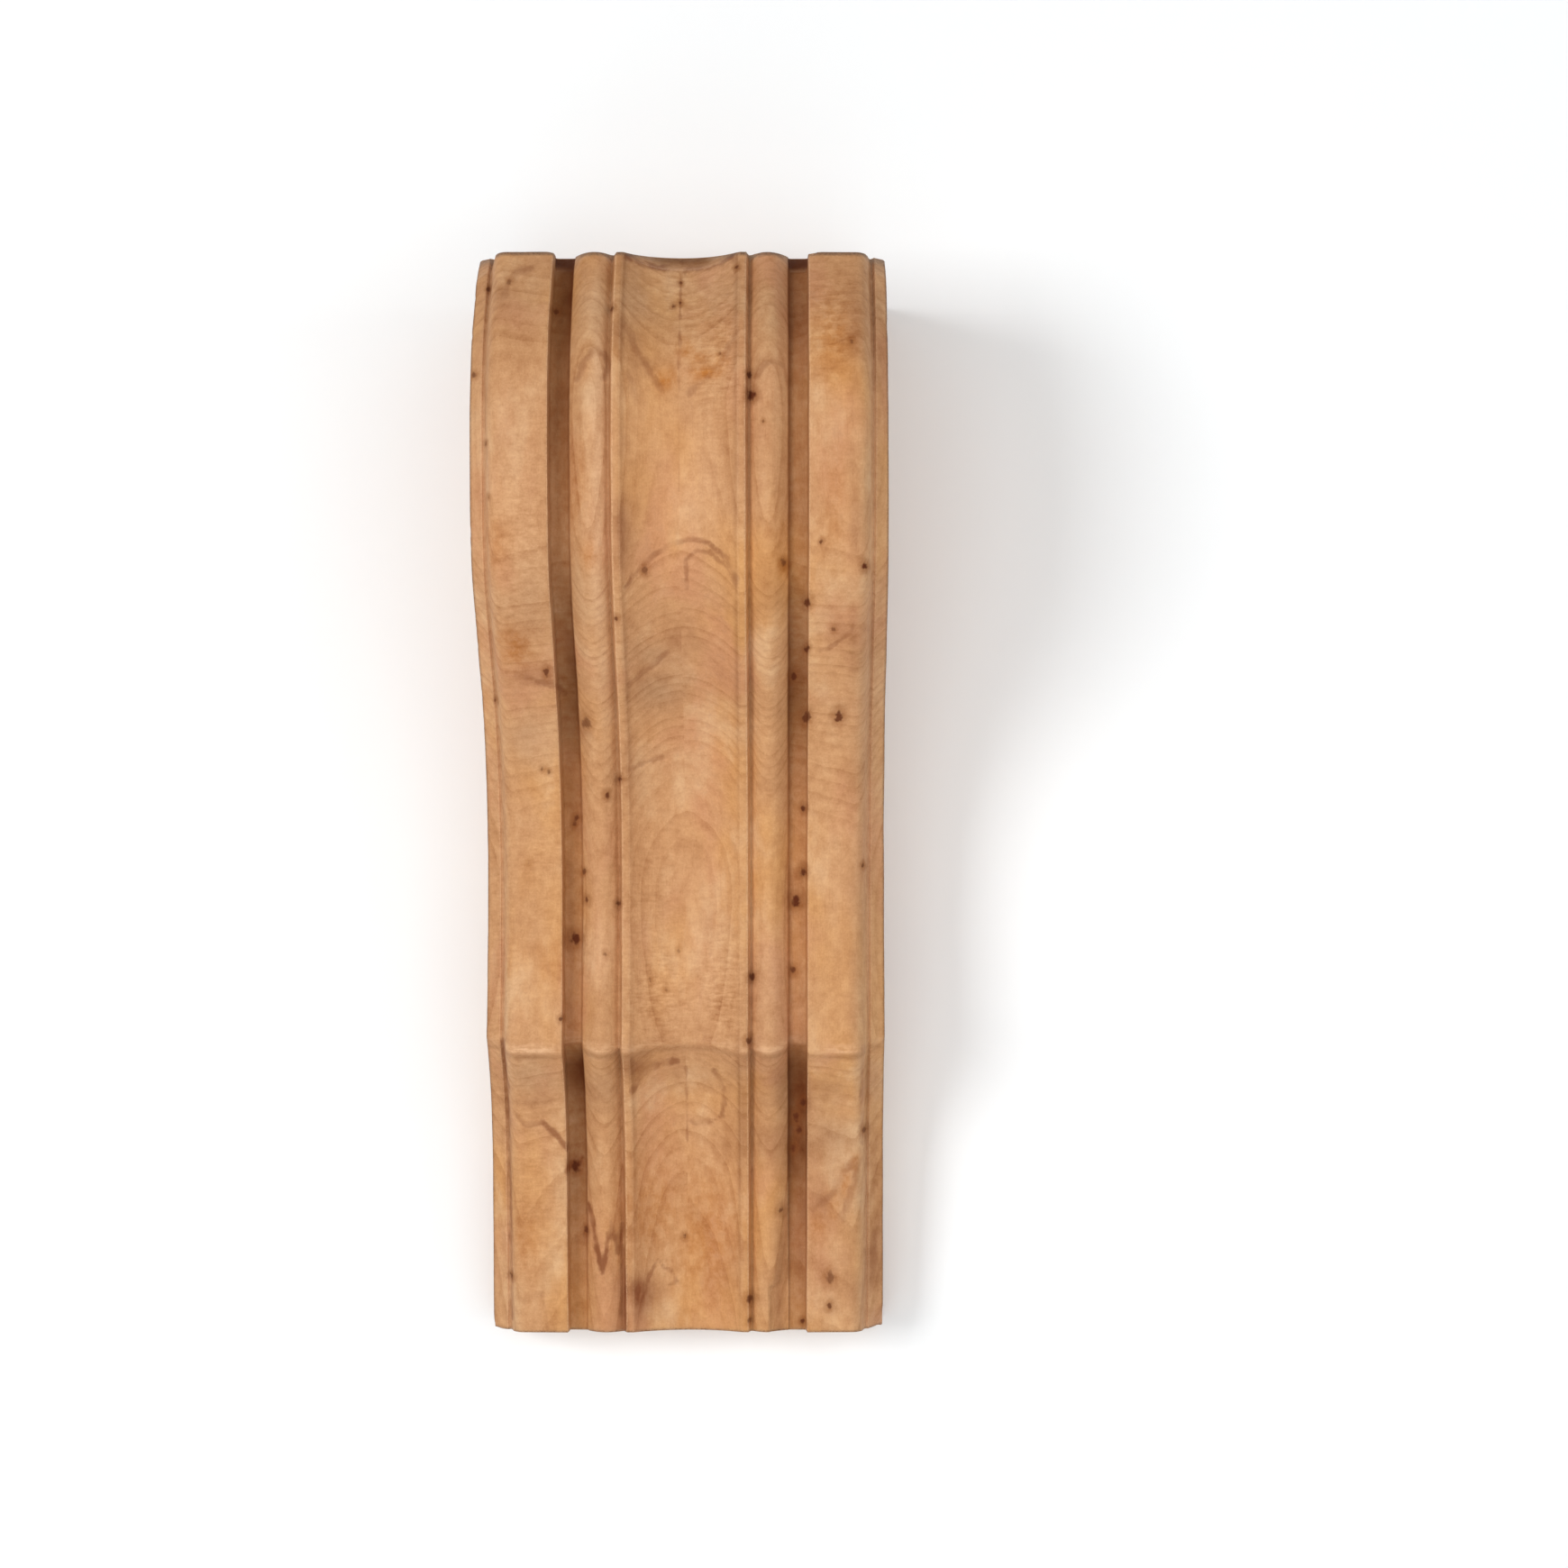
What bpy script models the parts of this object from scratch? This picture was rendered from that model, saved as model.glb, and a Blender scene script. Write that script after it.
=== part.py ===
"""A carved wooden corbel: an S-curved wall bracket with a fluted and beaded front.

The corbel is one block of wood.  Its back lies on the plane y = 0, its front looks
along -Y, and +Z is up.  The origin is the middle of the back, where it meets the wall.

The front is a moulding drawn across the block (flute, fillet, vee, bead, groove, band,
shoulder, channel and edge strip) that follows the face curve seen from the side.  Every
line of the moulding keeps its own depth below that curve, measured square to it, so the
creases at the nose and below the top edge are mitred at every depth.
"""

import bpy
import bmesh
from math import asin, cos, hypot, radians, sin, sqrt, tan

# Overall block, in metres
HEIGHT = 0.3366
FOOT_WIDTH = 0.1270
TOP_WIDTH = 0.1242

# Face curve at the level of the bands, from the top down.  Projections are measured
# out from the wall, tilts from the vertical.
CREST_PROJECTION = 0.1280
CREST_BELOW_TOP = 0.0516
CROWN_RADIUS = 0.0540
RAMP_TILT = radians(38.0)
TOP_FACET_TILT = radians(57.0)
TOP_FACET_DROP = 0.0010
BROW_RADIUS = 0.2300
BROW_TILT = radians(8.0)
BELLY_RADIUS = 0.0458
RUN_TILT = radians(45.0)
COVE_RADIUS = 0.0880
VALLEY_PROJECTION = 0.0612
NOSE_HEIGHT = 0.0925
NOSE_OUTSET = 0.0037
UNDERCUT_TILT = radians(55.0)
UNDERCUT_RADIUS = 0.0620
FOOT_TILT = radians(7.0)

# Moulding from the centre line outward
FLUTE_WIDTH = 0.0348
FLUTE_DEPTH = 0.0058
FILLET_WIDTH = 0.0024
VEE_DEPTH = 0.0033
VEE_FLANK = 0.0009
BEAD_WIDTH = 0.0118
BEAD_OUTER_DROP = 0.0046
GROOVE_WIDTH = 0.0059
GROOVE_DEPTH = 0.0062
GROOVE_INNER_DRAFT = 0.0002
GROOVE_OUTER_DRAFT = 0.0004

# Moulding from the side of the block inward
STRIP_WIDTH = 0.0050
STRIP_INNER_DEPTH = 0.0066
STRIP_OUTER_DEPTH = 0.0100
CHANNEL_WIDTH = 0.0016
CHANNEL_DEPTH = 0.0074
SHOULDER_WIDTH = 0.0042
SHOULDER_DROP = 0.0050

# Number of flat pieces in each stretch
RAMP_STEPS = 2
CROWN_STEPS = 7
BROW_STEPS = 2
BELLY_STEPS = 7
RUN_STEPS = 3
COVE_STEPS = 8
CHIN_STEPS = 4
UNDERCUT_STEPS = 9
FOOT_STEPS = 3
FLUTE_STEPS = 8
BEAD_STEPS = 8
SHOULDER_STEPS = 4

MERGE_DISTANCE = 0.00001

# Bare pale hardwood
WOOD_COLOUR = (0.560, 0.300, 0.150, 1.0)
WOOD_ROUGHNESS = 0.6


def arc_point(centre, radius, tilt):
    """Point on an arc where the face leans back by tilt; centre is (out, up).

    A hollow arc, whose centre lies in front of the face, has a negative radius.  So a depth
    into the wood is taken off the radius of a hollow and of a swell alike.
    """
    return (centre[0] + radius * cos(tilt), centre[1] + radius * sin(tilt))


def arc_centre(point, radius, tilt):
    """Centre of the arc of a radius that passes through point with a tilt there."""
    return (point[0] - radius * cos(tilt), point[1] - radius * sin(tilt))


def arc(centre, radius, start_tilt, end_tilt, steps):
    """Points along an arc, both ends included."""
    turn = (end_tilt - start_tilt) / steps
    return [arc_point(centre, radius, start_tilt + turn * step) for step in range(steps + 1)]


def between(start, end, steps):
    """Points inside a straight stretch, both ends left out."""
    return [
        (start[0] + (end[0] - start[0]) * step / steps, start[1] + (end[1] - start[1]) * step / steps)
        for step in range(1, steps)
    ]


def crossing(first_centre, first_radius, second_centre, second_radius):
    """The crossing of two circles that lies nearer to the wall."""
    out = second_centre[0] - first_centre[0]
    up = second_centre[1] - first_centre[1]
    gap = hypot(out, up)
    along = (gap ** 2 + first_radius ** 2 - second_radius ** 2) / (2.0 * gap)
    aside = sqrt(first_radius ** 2 - along ** 2)
    foot = (first_centre[0] + along * out / gap, first_centre[1] + along * up / gap)
    either = [(foot[0] - side * aside * up / gap, foot[1] + side * aside * out / gap) for side in (1.0, -1.0)]
    return min(either)


# The arcs of the face curve.  Heights are counted up from the foot here.
CREST = (CREST_PROJECTION, HEIGHT - CREST_BELOW_TOP)
CROWN_CENTRE = arc_centre(CREST, CROWN_RADIUS, 0.0)
RAMP_FOOT = arc_point(CROWN_CENTRE, CROWN_RADIUS, RAMP_TILT)
KINK_HEIGHT = HEIGHT - TOP_FACET_DROP
KINK = (RAMP_FOOT[0] - (KINK_HEIGHT - RAMP_FOOT[1]) * tan(RAMP_TILT), KINK_HEIGHT)
TOP_PROJECTION = KINK[0] - TOP_FACET_DROP * tan(TOP_FACET_TILT)

BROW_CENTRE = arc_centre(CREST, BROW_RADIUS, 0.0)
BROW_FOOT = arc_point(BROW_CENTRE, BROW_RADIUS, -BROW_TILT)
BELLY_CENTRE = arc_centre(BROW_FOOT, BELLY_RADIUS, -BROW_TILT)
BELLY_FOOT = arc_point(BELLY_CENTRE, BELLY_RADIUS, -RUN_TILT)
COVE_TOP_PROJECTION = VALLEY_PROJECTION + COVE_RADIUS * (1.0 - cos(RUN_TILT))
COVE_TOP = (
    COVE_TOP_PROJECTION,
    BELLY_FOOT[1] - (BELLY_FOOT[0] - COVE_TOP_PROJECTION) / tan(RUN_TILT),
)
COVE_CENTRE = arc_centre(COVE_TOP, -COVE_RADIUS, -RUN_TILT)

# The chin swells from the valley out to the nose.
CHIN_HEIGHT = COVE_CENTRE[1] - NOSE_HEIGHT
CHIN_RADIUS = (CHIN_HEIGHT ** 2 + NOSE_OUTSET ** 2) / (2.0 * NOSE_OUTSET)
CHIN_CENTRE = (VALLEY_PROJECTION + CHIN_RADIUS, COVE_CENTRE[1])
NOSE = (VALLEY_PROJECTION + NOSE_OUTSET, NOSE_HEIGHT)

# Below the nose the face is cut back and eases down to the foot.
UNDERCUT_CENTRE = arc_centre(NOSE, -UNDERCUT_RADIUS, -UNDERCUT_TILT)
UNDERCUT_FOOT = arc_point(UNDERCUT_CENTRE, -UNDERCUT_RADIUS, -FOOT_TILT)
FOOT_PROJECTION = UNDERCUT_FOOT[0] - UNDERCUT_FOOT[1] * tan(FOOT_TILT)


def kink_point(depth):
    """Mitre of the ramp and the narrow facet under the top edge."""
    mean_tilt = (RAMP_TILT + TOP_FACET_TILT) / 2.0
    reach = depth / cos((TOP_FACET_TILT - RAMP_TILT) / 2.0)
    return (KINK[0] - reach * cos(mean_tilt), KINK[1] - reach * sin(mean_tilt))


def nose_tilts(depth):
    """Tilts of the chin and of the undercut where they meet at a depth."""
    chin_radius = CHIN_RADIUS + depth
    undercut_radius = UNDERCUT_RADIUS + depth
    nose = crossing(CHIN_CENTRE, chin_radius, UNDERCUT_CENTRE, undercut_radius)
    chin_tilt = asin((CHIN_CENTRE[1] - nose[1]) / chin_radius)
    undercut_tilt = asin((UNDERCUT_CENTRE[1] - nose[1]) / undercut_radius)
    return chin_tilt, undercut_tilt


def strand(depth):
    """The face curve at a depth into the wood, as (out, up) points from the top edge to the foot."""
    chin_tilt, undercut_tilt = nose_tilts(depth)
    crown = arc(CROWN_CENTRE, CROWN_RADIUS - depth, RAMP_TILT, 0.0, CROWN_STEPS)
    brow = arc(BROW_CENTRE, BROW_RADIUS - depth, 0.0, -BROW_TILT, BROW_STEPS)
    belly = arc(BELLY_CENTRE, BELLY_RADIUS - depth, -BROW_TILT, -RUN_TILT, BELLY_STEPS)
    cove = arc(COVE_CENTRE, -COVE_RADIUS - depth, -RUN_TILT, 0.0, COVE_STEPS)
    chin = arc(CHIN_CENTRE, -CHIN_RADIUS - depth, 0.0, chin_tilt, CHIN_STEPS)
    undercut = arc(UNDERCUT_CENTRE, -UNDERCUT_RADIUS - depth, undercut_tilt, -FOOT_TILT, UNDERCUT_STEPS)
    top = (TOP_PROJECTION - depth / cos(TOP_FACET_TILT), HEIGHT)
    kink = kink_point(depth)
    foot = (FOOT_PROJECTION - depth / cos(FOOT_TILT), 0.0)
    points = [top, kink] + between(kink, crown[0], RAMP_STEPS)
    points += crown + brow[1:] + belly[1:]
    points += between(belly[-1], cove[0], RUN_STEPS) + cove + chin[1:]
    points += undercut[1:] + between(undercut[-1], foot, FOOT_STEPS) + [foot]
    return points


def flute():
    """Hollow arc from the centre line to the fillet, as (across, depth) points."""
    half = FLUTE_WIDTH / 2.0
    radius = (half ** 2 + FLUTE_DEPTH ** 2) / (2.0 * FLUTE_DEPTH)
    sweep = asin(half / radius)
    angles = [sweep * step / FLUTE_STEPS for step in range(FLUTE_STEPS + 1)]
    return [(radius * sin(angle), FLUTE_DEPTH - radius * (1.0 - cos(angle))) for angle in angles]


def bead(start):
    """Rounded bead that leaves the vee at start and ends above the groove."""
    end = start + BEAD_WIDTH
    inner_share = sqrt(VEE_DEPTH) / (sqrt(VEE_DEPTH) + sqrt(BEAD_OUTER_DROP))
    crown = start + BEAD_WIDTH * inner_share
    points = []
    for step in range(1, BEAD_STEPS + 1):
        across = start + BEAD_WIDTH * step / BEAD_STEPS
        if across < crown:
            depth = VEE_DEPTH * ((crown - across) / (crown - start)) ** 2
        else:
            depth = BEAD_OUTER_DROP * ((across - crown) / (end - crown)) ** 2
        points.append((across, depth))
    return points


def shoulder(start):
    """Quarter round from the edge of the band down towards the channel."""
    quarter = radians(90.0)
    angles = [quarter * step / SHOULDER_STEPS for step in range(1, SHOULDER_STEPS + 1)]
    return [
        (start + SHOULDER_WIDTH * sin(angle), SHOULDER_DROP * (1.0 - cos(angle))) for angle in angles
    ]


def half_moulding():
    """The moulding from the centre line to the side, as (across, depth) points."""
    fillet_edge = FLUTE_WIDTH / 2.0 + FILLET_WIDTH
    vee = fillet_edge + VEE_FLANK
    groove = vee + BEAD_WIDTH
    band = groove + GROOVE_WIDTH
    strip = FOOT_WIDTH / 2.0 - STRIP_WIDTH
    channel = strip - CHANNEL_WIDTH / 2.0
    band_edge = strip - CHANNEL_WIDTH - SHOULDER_WIDTH
    points = flute() + [(fillet_edge, 0.0), (vee, VEE_DEPTH)] + bead(vee)
    points += [(groove + GROOVE_INNER_DRAFT, GROOVE_DEPTH), (band - GROOVE_OUTER_DRAFT, GROOVE_DEPTH)]
    points += [(band, 0.0), (band_edge, 0.0)] + shoulder(band_edge)
    points += [(channel, CHANNEL_DEPTH), (strip, STRIP_INNER_DEPTH), (FOOT_WIDTH / 2.0, STRIP_OUTER_DEPTH)]
    return points


def side_at(up):
    """Half width of the block, which narrows evenly from the foot to the top."""
    return (FOOT_WIDTH + (TOP_WIDTH - FOOT_WIDTH) * up / HEIGHT) / 2.0


def place(mesh, across, out, up):
    """Vertex in the part's frame, whose origin is half way up the back."""
    return mesh.verts.new((across, -out, up - HEIGHT / 2.0))


def build_half():
    """The right half of the block, open at the centre plane."""
    mesh = bmesh.new()
    moulding = half_moulding()
    columns = []
    for across, depth in moulding[:-1]:
        columns.append([place(mesh, across, out, up) for out, up in strand(depth)])
    side_depth = moulding[-1][1]
    columns.append([place(mesh, side_at(up), out, up) for out, up in strand(side_depth)])
    back_top = [place(mesh, 0.0, 0.0, HEIGHT), place(mesh, side_at(HEIGHT), 0.0, HEIGHT)]
    back_foot = [place(mesh, 0.0, 0.0, 0.0), place(mesh, side_at(0.0), 0.0, 0.0)]

    for inner, outer in zip(columns, columns[1:]):
        for row in range(len(inner) - 1):
            mesh.faces.new((inner[row], inner[row + 1], outer[row + 1], outer[row]))
    mesh.faces.new([column[0] for column in columns] + [back_top[1], back_top[0]])
    mesh.faces.new([back_foot[0], back_foot[1]] + [column[-1] for column in reversed(columns)])
    mesh.faces.new(columns[-1] + [back_foot[1], back_top[1]])
    mesh.faces.new((back_top[0], back_top[1], back_foot[1], back_foot[0]))
    bmesh.ops.triangulate(mesh, faces=mesh.faces[:])
    return mesh


def wood():
    """Bare, unfinished hardwood."""
    material = bpy.data.materials.new("bare_hardwood")
    material.use_nodes = True
    shader = material.node_tree.nodes["Principled BSDF"]
    shader.inputs["Base Color"].default_value = WOOD_COLOUR
    shader.inputs["Roughness"].default_value = WOOD_ROUGHNESS
    shader.inputs["Metallic"].default_value = 0.0
    return material


def build_corbel():
    """One solid: the carved half and its mirror image, welded on the centre plane."""
    for old in list(bpy.data.objects):
        bpy.data.objects.remove(old, do_unlink=True)
    collection = bpy.data.collections.new("corbel_parts")
    bpy.context.scene.collection.children.link(collection)

    half = build_half()
    data = bpy.data.meshes.new("corbel")
    half.to_mesh(data)
    half.free()
    data.shade_smooth()
    data.set_sharp_from_angle(angle=radians(30.0))
    data.materials.append(wood())
    corbel = bpy.data.objects.new("corbel", data)
    collection.objects.link(corbel)

    mirror = corbel.modifiers.new("other_half", "MIRROR")
    mirror.use_axis = (True, False, False)
    mirror.use_mirror_merge = True
    mirror.merge_threshold = MERGE_DISTANCE
    return corbel


build_corbel()
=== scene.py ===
"""The looks of the carved wooden corbel: its finely worn surface, its wood and the studio.

The corbel's fine mesh follows the same face curve and moulding as the CAD solid, from the same
named sizes, with closer steps, softened arrises and the small faults of the real carving.
Lengths are in metres, and the marks in the wood are placed in millimetres.  Across is counted
from the centre line to the right, up from the foot, and out from the wall.
"""

from math import asin, cos, hypot, pi, radians, sin, sqrt, tan
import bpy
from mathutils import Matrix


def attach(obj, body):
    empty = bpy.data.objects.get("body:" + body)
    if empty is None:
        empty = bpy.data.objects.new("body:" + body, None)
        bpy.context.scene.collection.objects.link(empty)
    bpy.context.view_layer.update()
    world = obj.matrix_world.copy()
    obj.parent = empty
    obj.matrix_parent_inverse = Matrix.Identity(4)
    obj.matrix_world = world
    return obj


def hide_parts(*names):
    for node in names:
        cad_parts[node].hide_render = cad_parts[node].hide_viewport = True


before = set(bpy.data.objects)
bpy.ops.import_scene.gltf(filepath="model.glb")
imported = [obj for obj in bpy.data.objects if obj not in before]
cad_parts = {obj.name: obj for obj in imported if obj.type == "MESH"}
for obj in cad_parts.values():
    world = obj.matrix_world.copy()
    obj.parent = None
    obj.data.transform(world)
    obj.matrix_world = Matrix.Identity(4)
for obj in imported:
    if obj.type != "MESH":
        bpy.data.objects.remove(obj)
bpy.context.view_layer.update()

from types import SimpleNamespace

import bmesh
import bpy
import numpy as np
from mathutils import Vector, noise

# Overall block
HEIGHT = 0.3366
FOOT_WIDTH = 0.1270
TOP_WIDTH = 0.1242

# Face curve at the level of the bands, from the top down
CREST_PROJECTION = 0.1280
CREST_BELOW_TOP = 0.0516
CROWN_RADIUS = 0.0540
RAMP_TILT = radians(38.0)
TOP_FACET_TILT = radians(57.0)
TOP_FACET_DROP = 0.0010
BROW_RADIUS = 0.2300
BROW_TILT = radians(8.0)
BELLY_RADIUS = 0.0458
RUN_TILT = radians(45.0)
COVE_RADIUS = 0.0880
VALLEY_PROJECTION = 0.0612
NOSE_HEIGHT = 0.0925
NOSE_OUTSET = 0.0037
UNDERCUT_TILT = radians(55.0)
UNDERCUT_RADIUS = 0.0620
FOOT_TILT = radians(7.0)

# Moulding from the centre line outward
FLUTE_WIDTH = 0.0348
FLUTE_DEPTH = 0.0058
FILLET_WIDTH = 0.0024
VEE_DEPTH = 0.0033
VEE_FLANK = 0.0009
BEAD_WIDTH = 0.0118
BEAD_OUTER_DROP = 0.0046
GROOVE_WIDTH = 0.0059
GROOVE_DEPTH = 0.0062
GROOVE_INNER_DRAFT = 0.0002
GROOVE_OUTER_DRAFT = 0.0004

# Moulding from the side of the block inward
STRIP_WIDTH = 0.0050
STRIP_INNER_DEPTH = 0.0066
STRIP_OUTER_DEPTH = 0.0100
CHANNEL_WIDTH = 0.0016
CHANNEL_DEPTH = 0.0074
SHOULDER_WIDTH = 0.0042
SHOULDER_DROP = 0.0050

# Fineness of the mesh
ROW_STEP = 0.00106
COLUMN_STEP = 0.0007
SIDE_COLUMNS = 14
BACK_COLUMNS = 12
CAP_INSET = 0.0006
SOFTEN_SHARE = 0.5
OFF_FRONT = -1.0

# How many millimetres a metre has
MILLIMETRES = 1000.0

# Places across the block, from the centre line
FILLET_EDGE = FLUTE_WIDTH / 2.0 + FILLET_WIDTH
BEAD_START = FILLET_EDGE + VEE_FLANK
BEAD_END = BEAD_START + BEAD_WIDTH
BAND_START = BEAD_END + GROOVE_WIDTH
STRIP_START = FOOT_WIDTH / 2.0 - STRIP_WIDTH
CHANNEL_INNER = STRIP_START - CHANNEL_WIDTH
CHANNEL_BOTTOM = CHANNEL_INNER + CHANNEL_WIDTH / 2.0
BAND_END = CHANNEL_INNER - SHOULDER_WIDTH


def steps_in(length, step):
    """Number of steps of about the given size in a length."""
    return max(1, round(length / step))


def arc_point(centre, radius, tilt):
    """Point on an arc where the face leans back by tilt; a hollow arc has a negative radius."""
    return np.array([centre[0] + radius * cos(tilt), centre[1] + radius * sin(tilt)])


def arc_centre(point, radius, tilt):
    """Centre of the arc of a radius that passes through point with a tilt there."""
    return (point[0] - radius * cos(tilt), point[1] - radius * sin(tilt))


def arc(centre, radius, start_tilt, end_tilt, steps):
    """Points along an arc, both ends included."""
    tilts = np.linspace(start_tilt, end_tilt, steps + 1)
    return np.array([arc_point(centre, radius, tilt) for tilt in tilts])


def line(start, end, steps):
    """Points along a straight stretch, both ends included."""
    share = np.linspace(0.0, 1.0, steps + 1)[:, None]
    return np.array(start) * (1.0 - share) + np.array(end) * share


def crossing(first_centre, first_radius, second_centre, second_radius):
    """The crossing of two circles that lies nearer to the wall."""
    out = second_centre[0] - first_centre[0]
    up = second_centre[1] - first_centre[1]
    gap = hypot(out, up)
    along = (gap ** 2 + first_radius ** 2 - second_radius ** 2) / (2.0 * gap)
    aside = sqrt(first_radius ** 2 - along ** 2)
    middle = (first_centre[0] + along * out / gap, first_centre[1] + along * up / gap)
    step = (aside * up / gap, aside * out / gap)
    return min((middle[0] - step[0], middle[1] + step[1]), (middle[0] + step[0], middle[1] - step[1]))


# The arcs of the face curve
CREST = (CREST_PROJECTION, HEIGHT - CREST_BELOW_TOP)
CROWN_CENTRE = arc_centre(CREST, CROWN_RADIUS, 0.0)
RAMP_FOOT = arc_point(CROWN_CENTRE, CROWN_RADIUS, RAMP_TILT)
KINK_HEIGHT = HEIGHT - TOP_FACET_DROP
KINK = (RAMP_FOOT[0] - (KINK_HEIGHT - RAMP_FOOT[1]) * tan(RAMP_TILT), KINK_HEIGHT)
TOP_PROJECTION = KINK[0] - TOP_FACET_DROP * tan(TOP_FACET_TILT)
BROW_CENTRE = arc_centre(CREST, BROW_RADIUS, 0.0)
BROW_FOOT = arc_point(BROW_CENTRE, BROW_RADIUS, -BROW_TILT)
BELLY_CENTRE = arc_centre(BROW_FOOT, BELLY_RADIUS, -BROW_TILT)
BELLY_FOOT = arc_point(BELLY_CENTRE, BELLY_RADIUS, -RUN_TILT)
COVE_TOP_PROJECTION = VALLEY_PROJECTION + COVE_RADIUS * (1.0 - cos(RUN_TILT))
COVE_TOP = (COVE_TOP_PROJECTION, BELLY_FOOT[1] - (BELLY_FOOT[0] - COVE_TOP_PROJECTION) / tan(RUN_TILT))
COVE_CENTRE = arc_centre(COVE_TOP, -COVE_RADIUS, -RUN_TILT)
CHIN_HEIGHT = COVE_CENTRE[1] - NOSE_HEIGHT
CHIN_RADIUS = (CHIN_HEIGHT ** 2 + NOSE_OUTSET ** 2) / (2.0 * NOSE_OUTSET)
CHIN_CENTRE = (VALLEY_PROJECTION + CHIN_RADIUS, COVE_CENTRE[1])
NOSE = (VALLEY_PROJECTION + NOSE_OUTSET, NOSE_HEIGHT)
UNDERCUT_CENTRE = arc_centre(NOSE, -UNDERCUT_RADIUS, -UNDERCUT_TILT)
UNDERCUT_FOOT = arc_point(UNDERCUT_CENTRE, -UNDERCUT_RADIUS, -FOOT_TILT)
FOOT_PROJECTION = UNDERCUT_FOOT[0] - UNDERCUT_FOOT[1] * tan(FOOT_TILT)

# Rows in each stretch of the face curve
FACET_ROWS = steps_in(TOP_FACET_DROP / cos(TOP_FACET_TILT), ROW_STEP)
RAMP_ROWS = steps_in((KINK_HEIGHT - RAMP_FOOT[1]) / cos(RAMP_TILT), ROW_STEP)
CROWN_ROWS = steps_in(CROWN_RADIUS * RAMP_TILT, ROW_STEP)
BROW_ROWS = steps_in(BROW_RADIUS * BROW_TILT, ROW_STEP)
BELLY_ROWS = steps_in(BELLY_RADIUS * (RUN_TILT - BROW_TILT), ROW_STEP)
RUN_ROWS = steps_in((BELLY_FOOT[1] - COVE_TOP[1]) / cos(RUN_TILT), ROW_STEP)
COVE_ROWS = steps_in(COVE_RADIUS * RUN_TILT, ROW_STEP)
CHIN_ROWS = steps_in(CHIN_HEIGHT, ROW_STEP)
UNDERCUT_ROWS = steps_in(UNDERCUT_RADIUS * (UNDERCUT_TILT - FOOT_TILT), ROW_STEP)
FOOT_ROWS = steps_in(UNDERCUT_FOOT[1], ROW_STEP)


def kink_point(depth):
    """Mitre of the ramp and the narrow facet under the top edge."""
    mean_tilt = (RAMP_TILT + TOP_FACET_TILT) / 2.0
    reach = depth / cos((TOP_FACET_TILT - RAMP_TILT) / 2.0)
    return (KINK[0] - reach * cos(mean_tilt), KINK[1] - reach * sin(mean_tilt))


def nose_tilts(depth):
    """Tilts of the chin and of the undercut where they meet at a depth."""
    chin_radius = CHIN_RADIUS + depth
    undercut_radius = UNDERCUT_RADIUS + depth
    nose = crossing(CHIN_CENTRE, chin_radius, UNDERCUT_CENTRE, undercut_radius)
    chin_tilt = asin((CHIN_CENTRE[1] - nose[1]) / chin_radius)
    undercut_tilt = asin((UNDERCUT_CENTRE[1] - nose[1]) / undercut_radius)
    return chin_tilt, undercut_tilt


def strand(depth):
    """The face curve at a depth into the wood, as (out, up) points from the top edge to the foot."""
    chin_tilt, undercut_tilt = nose_tilts(depth)
    top = (TOP_PROJECTION - depth / cos(TOP_FACET_TILT), HEIGHT)
    kink = kink_point(depth)
    foot = (FOOT_PROJECTION - depth / cos(FOOT_TILT), 0.0)
    crown = arc(CROWN_CENTRE, CROWN_RADIUS - depth, RAMP_TILT, 0.0, CROWN_ROWS)
    belly = arc(BELLY_CENTRE, BELLY_RADIUS - depth, -BROW_TILT, -RUN_TILT, BELLY_ROWS)
    cove = arc(COVE_CENTRE, -COVE_RADIUS - depth, -RUN_TILT, 0.0, COVE_ROWS)
    undercut = arc(UNDERCUT_CENTRE, -UNDERCUT_RADIUS - depth, undercut_tilt, -FOOT_TILT, UNDERCUT_ROWS)
    stretches = [
        line(top, kink, FACET_ROWS),
        line(kink, crown[0], RAMP_ROWS),
        crown,
        arc(BROW_CENTRE, BROW_RADIUS - depth, 0.0, -BROW_TILT, BROW_ROWS),
        belly,
        line(belly[-1], cove[0], RUN_ROWS),
        cove,
        arc(CHIN_CENTRE, -CHIN_RADIUS - depth, 0.0, chin_tilt, CHIN_ROWS),
        undercut,
        line(undercut[-1], foot, FOOT_ROWS),
    ]
    return np.concatenate([stretches[0]] + [stretch[1:] for stretch in stretches[1:]])


def flute():
    """Hollow arc from the centre line to the fillet, as (across, depth) points."""
    half = FLUTE_WIDTH / 2.0
    radius = (half ** 2 + FLUTE_DEPTH ** 2) / (2.0 * FLUTE_DEPTH)
    sweep = asin(half / radius)
    angles = np.linspace(0.0, sweep, steps_in(half, COLUMN_STEP) + 1)
    return [(radius * sin(angle), FLUTE_DEPTH - radius * (1.0 - cos(angle))) for angle in angles]


def bead():
    """Rounded bead from the vee to the groove, as (across, depth) points."""
    inner_share = sqrt(VEE_DEPTH) / (sqrt(VEE_DEPTH) + sqrt(BEAD_OUTER_DROP))
    crown = BEAD_START + BEAD_WIDTH * inner_share
    points = []
    for across in np.linspace(BEAD_START, BEAD_END, steps_in(BEAD_WIDTH, COLUMN_STEP) + 1):
        if across < crown:
            depth = VEE_DEPTH * ((crown - across) / (crown - BEAD_START)) ** 2
        else:
            depth = BEAD_OUTER_DROP * ((across - crown) / (BEAD_END - crown)) ** 2
        points.append((across, depth))
    return points


def shoulder():
    """Quarter round from the edge of the band down towards the channel."""
    angles = np.linspace(0.0, pi / 2.0, steps_in(SHOULDER_WIDTH * pi / 2.0, COLUMN_STEP) + 1)
    return [(BAND_END + SHOULDER_WIDTH * sin(angle), SHOULDER_DROP * (1.0 - cos(angle))) for angle in angles]


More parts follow.
